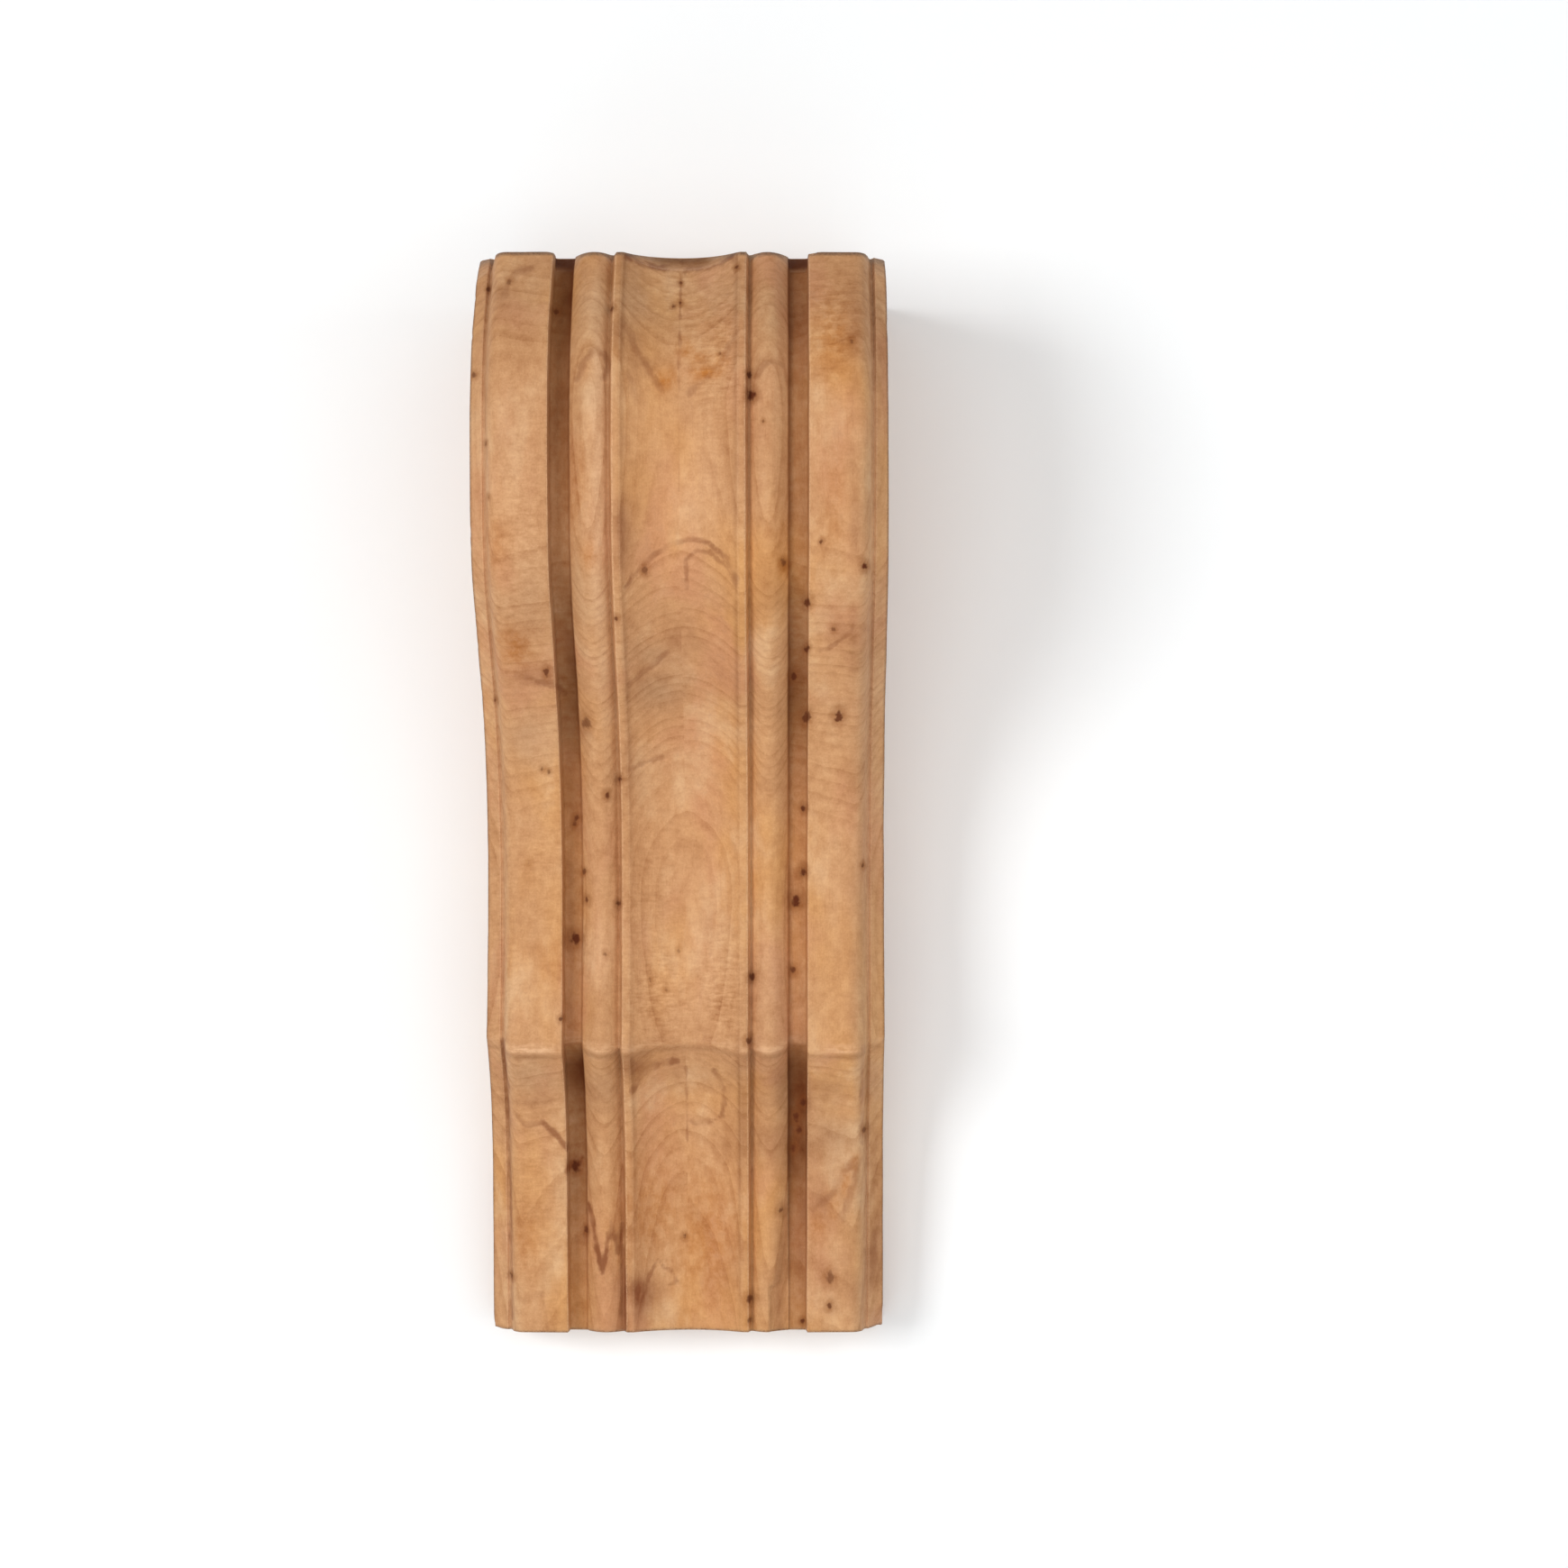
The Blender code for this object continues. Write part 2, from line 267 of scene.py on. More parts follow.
def half_moulding():
    """The moulding from the centre line to the side, as (across, depth) points at the column step."""
    corners = flute() + [(FILLET_EDGE, 0.0)] + bead()
    corners.append((BEAD_END + GROOVE_INNER_DRAFT, GROOVE_DEPTH))
    corners.append((BAND_START - GROOVE_OUTER_DRAFT, GROOVE_DEPTH))
    corners += [(BAND_START, 0.0)] + shoulder()
    corners.append((CHANNEL_BOTTOM, CHANNEL_DEPTH))
    corners.append((STRIP_START, STRIP_INNER_DEPTH))
    corners.append((FOOT_WIDTH / 2.0, STRIP_OUTER_DEPTH))
    points = [corners[0]]
    for start, end in zip(corners, corners[1:]):
        length = hypot(end[0] - start[0], end[1] - start[1])
        points += [tuple(point) for point in line(start, end, steps_in(length, COLUMN_STEP))[1:]]
    return np.array(points)


def side_at(up):
    """Half width of the block, which narrows evenly from the foot to the top."""
    return (FOOT_WIDTH + (TOP_WIDTH - FOOT_WIDTH) * up / HEIGHT) / 2.0


def eased(count):
    """Shares from 0 to 1, close together at both ends."""
    return (1.0 - np.cos(np.linspace(0.0, pi, count + 1))) / 2.0


def front_grid(across, depths):
    """Rows of points over the front from the top down, as (across, out, up)."""
    strands = {depth: strand(depth) for depth in set(depths)}
    front = np.stack([strands[depth] for depth in depths], axis=1)
    on_strip = np.clip((np.abs(across) - STRIP_START) / STRIP_WIDTH, 0.0, 1.0)
    reach = np.abs(across) + on_strip * (side_at(front[:, :, 1]) - FOOT_WIDTH / 2.0)
    return np.dstack([np.sign(across) * reach, front])


def surface_grid():
    """Rings of points round the block, row by row, as (across, out, up), and each one's depth.

    A ring runs over the front from left to right, back along the right side, over the back and
    forward along the left side.  The depth is the moulding's own depth below the bands, or
    OFF_FRONT where a point isn't on the front.
    """
    half = half_moulding()
    across = np.concatenate([-half[:0:-1, 0], half[:, 0]])
    depths = np.concatenate([half[:0:-1, 1], half[:, 1]])
    edge = strand(STRIP_OUTER_DEPTH)
    half_width = side_at(edge[:, 1])

    def column(share_across, share_out):
        return np.stack([half_width * share_across, edge[:, 0] * share_out, edge[:, 1]], axis=1)

    front = front_grid(across, depths)
    right = np.stack([column(1.0, 1.0 - share) for share in eased(SIDE_COLUMNS)[1:-1]], axis=1)
    left = right[:, ::-1] * np.array([-1.0, 1.0, 1.0])
    back = np.stack([column(1.0 - 2.0 * share, 0.0) for share in eased(BACK_COLUMNS)], axis=1)
    grid = np.concatenate([front, right, back, left], axis=1)
    depth_of = np.full(grid.shape[1], OFF_FRONT)
    depth_of[:len(depths)] = depths
    return grid, np.tile(depth_of, (len(grid), 1))


def inset(ring, amount):
    """The closed ring of points at one height, moved inward in its own plane."""
    flat = ring[:, :2]
    following = np.roll(flat, -1, axis=0)
    run = following - np.roll(flat, 1, axis=0)
    run /= np.linalg.norm(run, axis=1)[:, None]
    turning = np.sign(np.sum(flat[:, 0] * following[:, 1] - following[:, 0] * flat[:, 1]))
    moved = ring.copy()
    moved[:, 0] -= amount * turning * run[:, 1]
    moved[:, 1] += amount * turning * run[:, 0]
    return moved


def flat_shape(value, low, high):
    """Smooth step from 0 at low to 1 at high, for arrays."""
    share = np.clip((value - low) / (high - low), 0.0, 1.0)
    return share * share * (3.0 - 2.0 * share)


def near(distance, reach):
    """Soft band that is 1 at no distance and fades out at about twice the reach."""
    return np.exp(-(distance / reach) ** 2)


# Waves left by the sanding, and nicks along the arrises
WAVE = 0.00012
WAVE_SCALE = 55.0
NICK = 0.0005
NICK_SCALE = 260.0
NICK_RARITY = 0.15
NICKED_SHARPNESS = 0.0002
FLAT_BACK = 0.0002
WAVY_FROM = 0.0040

# The worn crease of the nose: places across and depths, in millimetres
NOSE_WEAR_PLACES = [-57, -52, -45, -40, -30, -22, 0, 22, 30, 40, 50, 57]
NOSE_WEAR_DEPTHS = [0.1, 0.7, 0.6, 0.2, 0.4, 0.3, 0.0, 0.3, 0.4, 0.1, 0.4, 0.1]
NOSE_WEAR_MOST = 0.7
NOSE_WEAR_REACH = 0.0016

# The slip of the cutter that narrowed the right bead near the foot
BEAD_CUT_TOP = 0.052
BEAD_CUT_HEIGHTS = [0.0, 0.016, 0.038, BEAD_CUT_TOP]
BEAD_CUT_EDGES = [0.0284, 0.0286, 0.0305, BEAD_END]
BEAD_CUT_FOOT_EDGE = 0.0264
BEAD_CUT_STEP = 0.0145
BEAD_CUT_STEP_RISE = 0.0025
BEAD_CUT_DEPTH = 0.0012
BEAD_CUT_FADE = 0.006
BEAD_CUT_MARGIN = 0.0005

# The rise of the outer strips near the top
STRIP_LIFT_LEFT = 0.0012
STRIP_LIFT_RIGHT = 0.0030
STRIP_LIFT_OUTER = 0.0022
STRIP_LIFT_START = HEIGHT - 0.045
STRIP_LIFT_END = HEIGHT - 0.005

# Chipped and worn corners: centre, radius and push, all as (across, out, up)
STRIP_FOOT = (FOOT_WIDTH / 2.0, FOOT_PROJECTION - STRIP_OUTER_DEPTH, 0.0)
DENTS = [
    ((BAND_START, TOP_PROJECTION, HEIGHT), 0.0030, (0.0012, -0.0016, -0.0014)),
    ((-BAND_START, TOP_PROJECTION, HEIGHT), 0.0018, (0.0, -0.0006, -0.0006)),
    (STRIP_FOOT, 0.0080, (-0.0012, -0.0042, 0.0006)),
    ((-STRIP_FOOT[0], STRIP_FOOT[1], STRIP_FOOT[2]), 0.0040, (0.0006, -0.0012, 0.0004)),
]


def bead_cut_edge(up):
    """Where the right bead's outer side ends near the foot."""
    narrowing = np.interp(up, BEAD_CUT_HEIGHTS, BEAD_CUT_EDGES)
    share = flat_shape(up, BEAD_CUT_STEP, BEAD_CUT_STEP + BEAD_CUT_STEP_RISE)
    return BEAD_CUT_FOOT_EDGE + (narrowing - BEAD_CUT_FOOT_EDGE) * share


def bead_cut_places(across, up, depths):
    """Whether each point is where the cutter slipped."""
    beside = (across > bead_cut_edge(up)) & (across < BEAD_END + 0.0001)
    return beside & (depths >= 0.0) & (up < BEAD_CUT_TOP)


def bead_cut(across, up, depths):
    """How far the slip of the cutter lowers each point."""
    edge = bead_cut_edge(up)
    share = np.clip((across - edge) / np.maximum(BEAD_END - edge, 0.0001), 0.0, 1.0)
    wanted = BEAD_CUT_DEPTH + (GROOVE_DEPTH - BEAD_CUT_DEPTH) * share
    fade = flat_shape(BEAD_CUT_TOP - up, 0.0, BEAD_CUT_FADE)
    return np.maximum(wanted - depths, 0.0) * fade * bead_cut_places(across, up, depths)


def strip_lift(across, up, depths):
    """How far the outer strips rise near the top."""
    near_top = flat_shape(up, STRIP_LIFT_START, STRIP_LIFT_END)
    strip = flat_shape(np.abs(across), CHANNEL_INNER - 0.0001, STRIP_START)
    outer = np.clip((np.abs(across) - STRIP_START) / (side_at(up) - STRIP_START), 0.0, 1.0)
    inner_lift = np.where(across > 0.0, STRIP_LIFT_RIGHT, STRIP_LIFT_LEFT)
    return (inner_lift + STRIP_LIFT_OUTER * outer) * near_top * strip * (depths >= 0.0)


def nose_height(depths):
    """How high the crease under the nose lies at each depth."""
    level = (0.0, GROOVE_DEPTH)
    heights = [CHIN_CENTRE[1] - (CHIN_RADIUS + depth) * sin(nose_tilts(depth)[0]) for depth in level]
    return np.interp(depths, level, heights)


def nose_wear(across, up, depths):
    """How far the crease under the nose is worn down."""
    ledge = near(up - nose_height(depths), NOSE_WEAR_REACH) * (depths >= 0.0)
    return ledge * np.interp(across * MILLIMETRES, NOSE_WEAR_PLACES, NOSE_WEAR_DEPTHS) / MILLIMETRES


def carved_faults(points, depths):
    """The points with the real carving's slips, worn places and chips, as (across, out, up)."""
    across, out, up = points.T
    out = out + strip_lift(across, up, depths)
    out = out - bead_cut(across, up, depths) - nose_wear(across, up, depths)
    points = np.stack([across, out, up], axis=1)
    for centre, radius, push in DENTS:
        share = np.clip(1.0 - np.linalg.norm(points - np.array(centre), axis=1) / radius, 0.0, 1.0)
        points = points + share[:, None] ** 1.5 * np.array(push)
    return points


def in_part_frame(points):
    """(across, out, up) as the part's own x, y and z."""
    return np.stack([points[:, 0], -points[:, 1], points[:, 2] - HEIGHT / 2.0], axis=1)


def noise_at(places, scale, seed):
    """Smooth noise from -1 to 1 at each place."""
    shift = Vector((seed * 7.3, seed * 3.1, seed * 5.7))
    return np.array([noise.noise(Vector(place) * scale + shift) for place in places])


def neighbour_mean(points, edges):
    """The mean of the points that share an edge with each point."""
    count = np.zeros(len(points))
    np.add.at(count, edges.ravel(), 1.0)
    total = np.zeros_like(points)
    np.add.at(total, edges[:, 0], points[edges[:, 1]])
    np.add.at(total, edges[:, 1], points[edges[:, 0]])
    return total / count[:, None]


def ring_quads(rings):
    """Four-sided faces between each ring of point numbers and the next."""
    quads = []
    for upper, lower in zip(rings, rings[1:]):
        quads.append(np.stack([upper, lower, np.roll(lower, -1), np.roll(upper, -1)], axis=1))
    return np.concatenate(quads)


def triangle_mesh(name, places, faces):
    """A smooth-shaded closed mesh of triangles."""
    mesh = bpy.data.meshes.new(name)
    mesh.from_pydata(places.tolist(), [], faces)
    work = bmesh.new()
    work.from_mesh(mesh)
    bmesh.ops.triangulate(work, faces=work.faces[:])
    bmesh.ops.recalc_face_normals(work, faces=work.faces[:])
    work.to_mesh(mesh)
    work.free()
    mesh.shade_smooth()
    return mesh


def outward_at(mesh):
    """The mesh's outward directions at its points, as (across, out, up)."""
    normals = np.zeros(len(mesh.vertices) * 3)
    mesh.vertices.foreach_get("normal", normals)
    return normals.reshape(-1, 3) * np.array([1.0, -1.0, 1.0])


def surface_wear(points, sharpness):
    """How far the waves and nicks move each point outward; the back stays flat."""
    places = in_part_frame(points)
    wave = WAVE * noise_at(places, WAVE_SCALE, 1)
    nicks = NICK * np.clip(noise_at(places, NICK_SCALE, 2) - NICK_RARITY, 0.0, 1.0)
    nicks *= np.clip(sharpness / NICKED_SHARPNESS, 0.0, 1.0)
    return (wave - WAVE - nicks) * flat_shape(points[:, 1], FLAT_BACK, WAVY_FROM)


def corbel_mesh():
    """The fine mesh, and what store_marks has to know of each of its points.

    That is its (across, out, up), its moulding depth, how proud it stands of its neighbours, and
    whether it is on the skin.  The rings inset into the flat top and foot aren't.
    """
    grid, depth_of = surface_grid()
    rows, columns, _ = grid.shape
    points = np.concatenate([grid.reshape(-1, 3), inset(grid[0], CAP_INSET), inset(grid[-1], CAP_INSET)])
    depths = np.concatenate([depth_of.ravel(), depth_of[0], depth_of[-1]])
    on_skin = np.arange(len(points)) < rows * columns

    *index, top_cap, foot_cap = np.arange(len(points)).reshape(-1, columns)
    quads = ring_quads([top_cap, *index, foot_cap])
    closing = np.stack([foot_cap, np.roll(foot_cap, -1)], axis=1)
    edges = np.concatenate([quads[:, [0, 1]], quads[:, [0, 3]], closing])

    points = carved_faults(points, depths)
    proud = points - neighbour_mean(points, edges)
    points = points - SOFTEN_SHARE * proud
    faces = quads.tolist() + [top_cap.tolist(), foot_cap[::-1].tolist()]
    mesh = triangle_mesh("corbel_carved", in_part_frame(points), faces)

    outward = outward_at(mesh)
    sharpness = np.sum(proud * outward, axis=1)
    moved = points + outward * surface_wear(points, sharpness)[:, None]
    mesh.vertices.foreach_set("co", in_part_frame(moved).ravel())
    mesh.update()
    depths[~on_skin] = OFF_FRONT
    return mesh, points, depths, sharpness * on_skin, on_skin


# Marks in the wood, in millimetres across from the centre line and up from the foot
KNOTS = [
    # across, up, half size, darkness
    (-51, 326, 0.9, 0.5), (-58, 325, 0.8, 0.8), (-37, 317, 0.9, 0.7), (-20, 317, 0.8, 0.7),
    (-61, 297, 0.9, 0.7), (0, 327, 0.7, 0.8), (0, 320, 0.7, 0.8), (-2, 319, 0.7, 0.8),
    (17, 331, 0.8, 0.8), (12, 303, 0.6, 0.6), (21, 296, 1.0, 0.9), (21.5, 290, 1.5, 1.0),
    (25, 282, 0.6, 0.6), (28, 261, 0.5, 0.5), (51, 306, 0.8, 0.6), (-57, 276, 0.6, 0.6),
    (-56, 260, 0.6, 0.6), (42, 247, 0.7, 0.8), (55, 240, 1.1, 1.0), (31, 241, 1.1, 0.7),
    (-10, 239, 1.1, 0.6), (38, 230, 1.2, 0.9), (-19, 225, 0.8, 0.8), (46, 222, 0.7, 0.6),
    (38, 217, 0.9, 0.9), (-41, 210, 1.1, 0.8), (34, 209, 1.1, 0.9), (-58, 202, 0.7, 0.6),
    (-30, 195, 1.8, 0.6), (38, 197, 1.5, 0.8), (48, 197, 1.6, 0.9), (-44, 181, 0.7, 0.6),
    (-42, 180, 0.7, 0.6), (-20, 178, 0.9, 0.9), (-24, 173, 1.0, 0.9), (37, 169, 1.0, 0.9),
    (-34, 166, 0.9, 0.8), (-35, 164, 0.8, 0.7), (-49, 152, 0.8, 0.4), (56, 151, 0.8, 0.7),
    (37, 149, 1.3, 0.9), (-32, 149, 0.9, 0.7), (-31, 140, 1.0, 0.8), (-21, 139, 0.9, 0.8),
    (35, 140, 1.8, 1.0), (-35, 128, 1.9, 1.0), (-2, 124, 0.8, 0.4), (-25, 123, 0.8, 0.5),
    (34, 118, 1.1, 0.8), (21, 116, 1.1, 0.9), (-11, 115, 0.7, 0.4), (-6, 112, 0.7, 0.4),
    (-39, 103, 0.8, 0.8), (20, 96, 1.1, 0.8), (37, 75, 1.2, 0.9), (35, 70, 1.3, 0.9),
    (36, 66, 1.2, 0.9), (34, 60, 1.2, 0.8), (57, 66, 1.1, 0.7), (-36, 54, 1.8, 1.0), (30, 40, 1.2, 0.7),
    (-33, 33, 1.0, 0.8), (-1, 31, 0.8, 0.8), (-57, 18, 0.9, 0.8), (46, 18, 1.8, 0.6), (46, 9, 1.2, 0.8),
    (20, 11, 1.3, 0.8), (20, 4, 0.9, 0.6), (37, 3, 0.9, 0.9),
]
STREAKS = [
    # half width, darkness, then the points that the line passes
    (0.5, 0.65, (-16, 234), (-13, 238), (-8, 243), (-2, 247), (3, 248), (9, 247), (14, 242), (17, 236)),
    (0.4, 0.50, (2, 234), (2, 242), (5, 245), (9, 244), (14, 240), (17, 234)),
    (0.5, 0.55, (-16, 206), (-12, 210), (-9, 212), (-6, 215), (-4, 216)),
    (0.5, 0.40, (-17, 181), (-12, 183), (-7, 185)),
    (0.6, 0.60, (-50, 209), (-43, 207), (-38, 206), (-36, 204)),
    (0.4, 0.50, (42, 216), (45, 217), (48, 219), (51, 221), (52, 224)),
    # Dark arc under the flute's top edge: grime and painted shade
    (0.9, 0.85, (-16, 335), (-9, 332.6), (0, 331.5), (8, 332.6), (15, 335)),
    (0.7, 0.75, (-17, 79), (-15, 83), (-11, 87), (-7, 88.5), (-3, 89)),
    (0.6, 0.60, (9, 86), (11, 82), (12, 76), (11, 71), (8, 69), (3, 68), (1, 69)),
    (0.6, 0.75, (-54, 71), (-51, 68), (-46, 69), (-43, 66), (-38, 60)),
    (0.6, 0.90, (-32, 42), (-30.5, 35), (-29, 27), (-27.5, 20), (-26.5, 24), (-25.5, 31), (-24, 36)),
    (0.6, 0.85, (-24, 36), (-23.4, 32), (-22, 26), (-21.4, 31), (-21, 35)),
    (0.7, 0.60, (-22, 33), (-21, 24), (-20.8, 14), (-20.8, 1)),
    (0.4, 0.55, (-13, 17), (-11.5, 20), (-9.5, 23.5), (-7.5, 21), (-5.5, 20)),
    (0.5, 0.45, (-5.5, 20), (-4.5, 18), (-3.5, 16.5), (-6, 15)),
    (0.9, 0.45, (41, 41), (47, 46), (51, 53), (54, 57)),
    (0.8, 0.45, (50, 38), (52, 44), (54, 50), (55, 56)),
    (0.7, 0.45, (-30, 295), (-28, 300), (-25, 303), (-22, 302.5), (-20.5, 299), (-22, 295)),
    (0.6, 0.40, (23, 295), (25, 299), (28, 300), (31, 299), (32.5, 295)),
    (0.7, 0.38, (-16, 312), (-13, 305), (-9, 298.5), (-5, 291.5)),
    (0.6, 0.35, (17, 309), (13, 300.5), (7, 294), (3, 291)),
    (0.6, 0.35, (-15, 297), (-13.5, 292), (-12, 287)),
    (0.8, 0.45, (-53, 320), (-51, 325), (-49, 329), (-45, 330.5)),
    (0.4, 0.30, (-47, 13), (-46, 7), (-45, 1)),
    (0.6, 0.90, (-38.5, 53), (-37, 55), (-35.5, 54.5), (-34, 56.5)),
    (0.4, 0.55, (-57.2, 72), (-57.1, 40), (-57.2, 4)),
    (0.5, 0.65, (-57.4, 96), (-57.2, 72)),
    (0.5, 0.55, (56, 94), (56, 62)),
    (0.3, 0.55, (0, 336), (0, 322), (0.2, 308), (0, 292)),
    (0.3, 0.45, (0, 87), (0.1, 76), (0, 62)),
    (0.2, 0.25, (0.3, 284), (0.1, 262)),
]

# Soft oval patches, each as across, up, half width, half height and strength.  Most are stains in
# the wood; the grey and brown patches marked below are painted shade, and the pale ones marked below
# painted light.  The shader weakens them unevenly, so some of the strengths are above 1.
AMBER_PATCHES = [
    (-4, 295.5, 3, 4, 1.0), (8, 297, 5, 2.5, 1.0), (2.5, 305, 3, 4, 0.9), (6, 302, 7, 3, 0.6),
    (12, 300, 3, 3, 0.8), (47, 60, 7, 6, 0.35), (46, 307, 9, 15, 0.6), (-50, 217, 6, 6, 0.8),
    (-12, 40, 14, 18, 0.5), (6, 30, 12, 24, 0.6), (-54, 246, 5, 9, 0.5), (-26, 243, 3, 4, 1.0),
    (46, 257, 5, 20, 0.35), (31, 240, 2, 4, 0.8), (10, 309, 8, 10, 0.35), (-42, 120, 8, 7, 0.4),
    (54, 56, 2, 4, 0.7), (51, 49, 2.5, 5, 0.8), (47, 42, 2.5, 5, 0.7), (42, 35, 3, 5, 0.5),
    (-52, 30, 6, 12, 0.4), (30, 250, 5, 12, 0.3), (-30, 262, 4, 14, 0.4),
]
BROWN_PATCHES_AND_PAINTED_SHADE = [
    (-15.5, 11, 3.5, 8, 1.2), (-19.8, 9, 1, 10, 1.3), (-10, 11, 4, 6, 0.8), (-17, 20, 2, 6, 0.4),
    (-24, 302, 4, 3, 0.5), (36, 62, 3, 14, 1.0), (-47, 213, 5, 4, 0.3), (-31, 192, 2, 4, 0.3),
    (46, 14, 4, 8, 0.25), (-33, 32, 1, 3, 0.6), (-22, 326, 3, 4, 0.3), (-13, 300, 3, 12, 0.3),
    (-15, 86, 5, 5, 0.3), (52, 213, 3, 8, 0.25), (-36, 82, 3, 6, 0.5), (35, 88, 3, 6, 0.4),
    # The first entry darkens the arc under the flute's top edge: grime and painted shade
    (0, 334, 11, 2.5, 0.45), (-18, 250, 2, 10, 0.25), (24, 300, 3, 5, 0.3), (52, 312, 3, 12, 0.5),
    (-55, 324, 4, 5, 0.4), (-18, 310, 2, 10, 0.5), (-44, 209, 9, 3, 0.75), (-50, 186, 4, 8, 0.25),
    (36.5, 78, 3, 14, 1.1), (35, 54, 3, 9, 0.9), (-47, 76, 8, 2, 0.4), (18.3, 72, 1.6, 20, 0.45),
    (-18.3, 330, 1.5, 8, 0.4), (29.5, 8, 1.6, 26, 0.55), (60, 300, 3, 40, 0.25), (60, 75, 4, 14, 0.3),
    (-11, 300, 6, 2, 0.3), (48, 222, 5, 3, 0.35), (-24, 235, 4, 6, 0.3), (26, 232, 4, 8, 0.25),
    (0, 212, 6, 12, 0.55), (-14, 212, 5, 12, 0.3), (8, 205, 6, 12, 0.2), (-47, 219, 8, 7, 0.25),
    (-15, 32, 4, 18, 0.40), (-16, 88, 5, 5, 0.80), (46, 80, 10, 9, 0.35), (46, 63, 8, 9, 0.5),
    (48, 46, 8, 9, 0.6), (60, 82, 4, 10, 1.0), (60.5, 35, 3, 40, 0.8), (27, 62, 5, 8, 0.35),
    (12, 62, 5, 8, 0.25), (52, 240, 2, 70, 0.35), (52, 30, 3, 30, 0.35), (53, 110, 2, 40, 0.25),
    # Painted shade: the entries at up 82 to 86 across the face darken the underside of the nose
    (-24, 86, 4, 4, 0.20), (-46, 82, 11, 7, 0.22), (28, 82, 6, 9, 0.35), (0, 84, 17, 6, 0.35),
    (-27, 82, 6, 7, 0.20), (-45, 331, 10, 4, 0.30), (-14.5, 12, 4, 7, 2.4), (-17, 182, 3, 9, 0.7),
    (-17, 249, 2.5, 9, 0.7),
]
GREY_PATCHES_AND_PAINTED_SHADE = [
    (-26, 316, 5, 13, 0.7), (-45, 318, 8, 8, 0.3), (28, 312, 5, 14, 0.4), (-25, 290, 5, 6, 0.5),
    (-45, 191, 9, 9, 1.0), (-45, 234, 8, 14, 0.7), (-14, 322, 5, 14, 0.5), (-7, 205, 9, 6, 0.8),
    (5, 318, 14, 12, 0.6), (-12, 322, 5, 10, 0.5), (-9, 215, 7, 4, 0.8), (-30, 240, 4, 20, 0.4),
    # Painted shade: the entries on this line darken the underside of the nose across the face
    (-47, 84, 9, 6, 0.9), (0, 84, 18, 6, 0.4), (30, 80, 6, 9, 0.4), (-27, 80, 5, 9, 0.4),
    (46, 78, 8, 8, 0.6), (47, 62, 9, 9, 1.2), (46, 235, 6, 10, 0.4), (60, 320, 4, 15, 0.5),
    # Painted shade: the first two entries darken the right shoulder and strip, which face away from the key
    # light, over their whole height
    (55, 170, 2.5, 200, 0.75), (60, 170, 3, 200, 0.4), (-60, 300, 4, 30, 0.2),
]
PALE_PATCHES_AND_PAINTED_LIGHT = [
    # Painted light: the first entry lightens the left bead's inner flank, which faces away from the key
    # light
    (-23.5, 262, 2.5, 58, 0.95), (-25, 320, 3, 14, 0.45), (-6, 274, 5, 10, 0.35),
    (-47, 285, 6, 14, 0.2), (-12, 285, 4, 12, 0.25), (5, 262, 8, 12, 0.25), (46, 130, 6, 30, 0.15),
    # Painted light: the entries on this line and the first on the next lighten the upward-facing cove above
    # the nose across the face
    (-46, 108, 12, 16, 0.20), (46, 108, 12, 16, 0.25), (27, 110, 6, 18, 0.35), (-27, 122, 5, 12, 0.40),
    (0, 112, 14, 14, 0.20), (-46, 262, 10, 40, 0.25), (-44, 190, 8, 9, 0.25),
]
CURLY_PATCHES = [
    (-9, 110, 9, 14, 1.0), (12, 112, 7, 16, 1.0), (12, 306, 7, 20, 1.4), (-47, 250, 8, 26, 0.5),
    (46, 312, 9, 18, 0.8), (-48, 40, 9, 35, 0.4), (-44, 150, 8, 16, 0.5), (-10, 140, 10, 20, 0.4),
    (-58, 120, 6, 60, 0.4), (4, 320, 14, 12, 0.8),
]

# How dark the grooves, vees and channels are painted at each height, partly dirt and partly painted
# shade that is strongest where the face tilts up or down: height in millimetres, then the share on
# the left and on the right
GROOVE_DIRT_AND_SHADE = [
    (0, 0.15, 0.35), (15, 0.15, 0.35), (30, 0.20, 0.42), (50, 0.60, 0.75), (68, 0.62, 0.80),
    (88, 0.90, 0.90), (100, 0.25, 0.20), (128, 0.30, 0.10), (155, 0.25, 0.15), (180, 0.45, 0.35),
    (205, 0.80, 0.75), (215, 0.75, 0.75), (230, 0.60, 0.60), (245, 0.45, 0.45), (262, 0.45, 0.45),
    (285, 0.65, 0.55), (310, 0.80, 0.75), (336, 0.90, 0.85),
]

# How strong the dirt and painted shade are in each hollow and under the nose, with the amber of the
# groove floors and the channels' painted light; a pair is for the left and the right side
GROOVE_INNER_DIRT_AND_SHADE = (1.2, 0.95)
GROOVE_OUTER_DIRT_AND_SHADE = 0.65
VEE_DIRT_AND_SHADE = (0.50, 0.35)
CHANNEL_DIRT_AND_SHADE = 0.3
FLUTE_EDGE_DIRT_AND_SHADE = 0.4
GROOVE_TOP_DIRT_AND_SHADE = 1.5
FLUTE_TOP_DIRT_AND_SHADE = 0.8
NOSE_SHADE = 0.5
GROOVE_AMBER = 0.30
# Painted light that lifts the shade in the channels, left and right
CHANNEL_PAINTED_LIGHT = (0.55, 0.75)

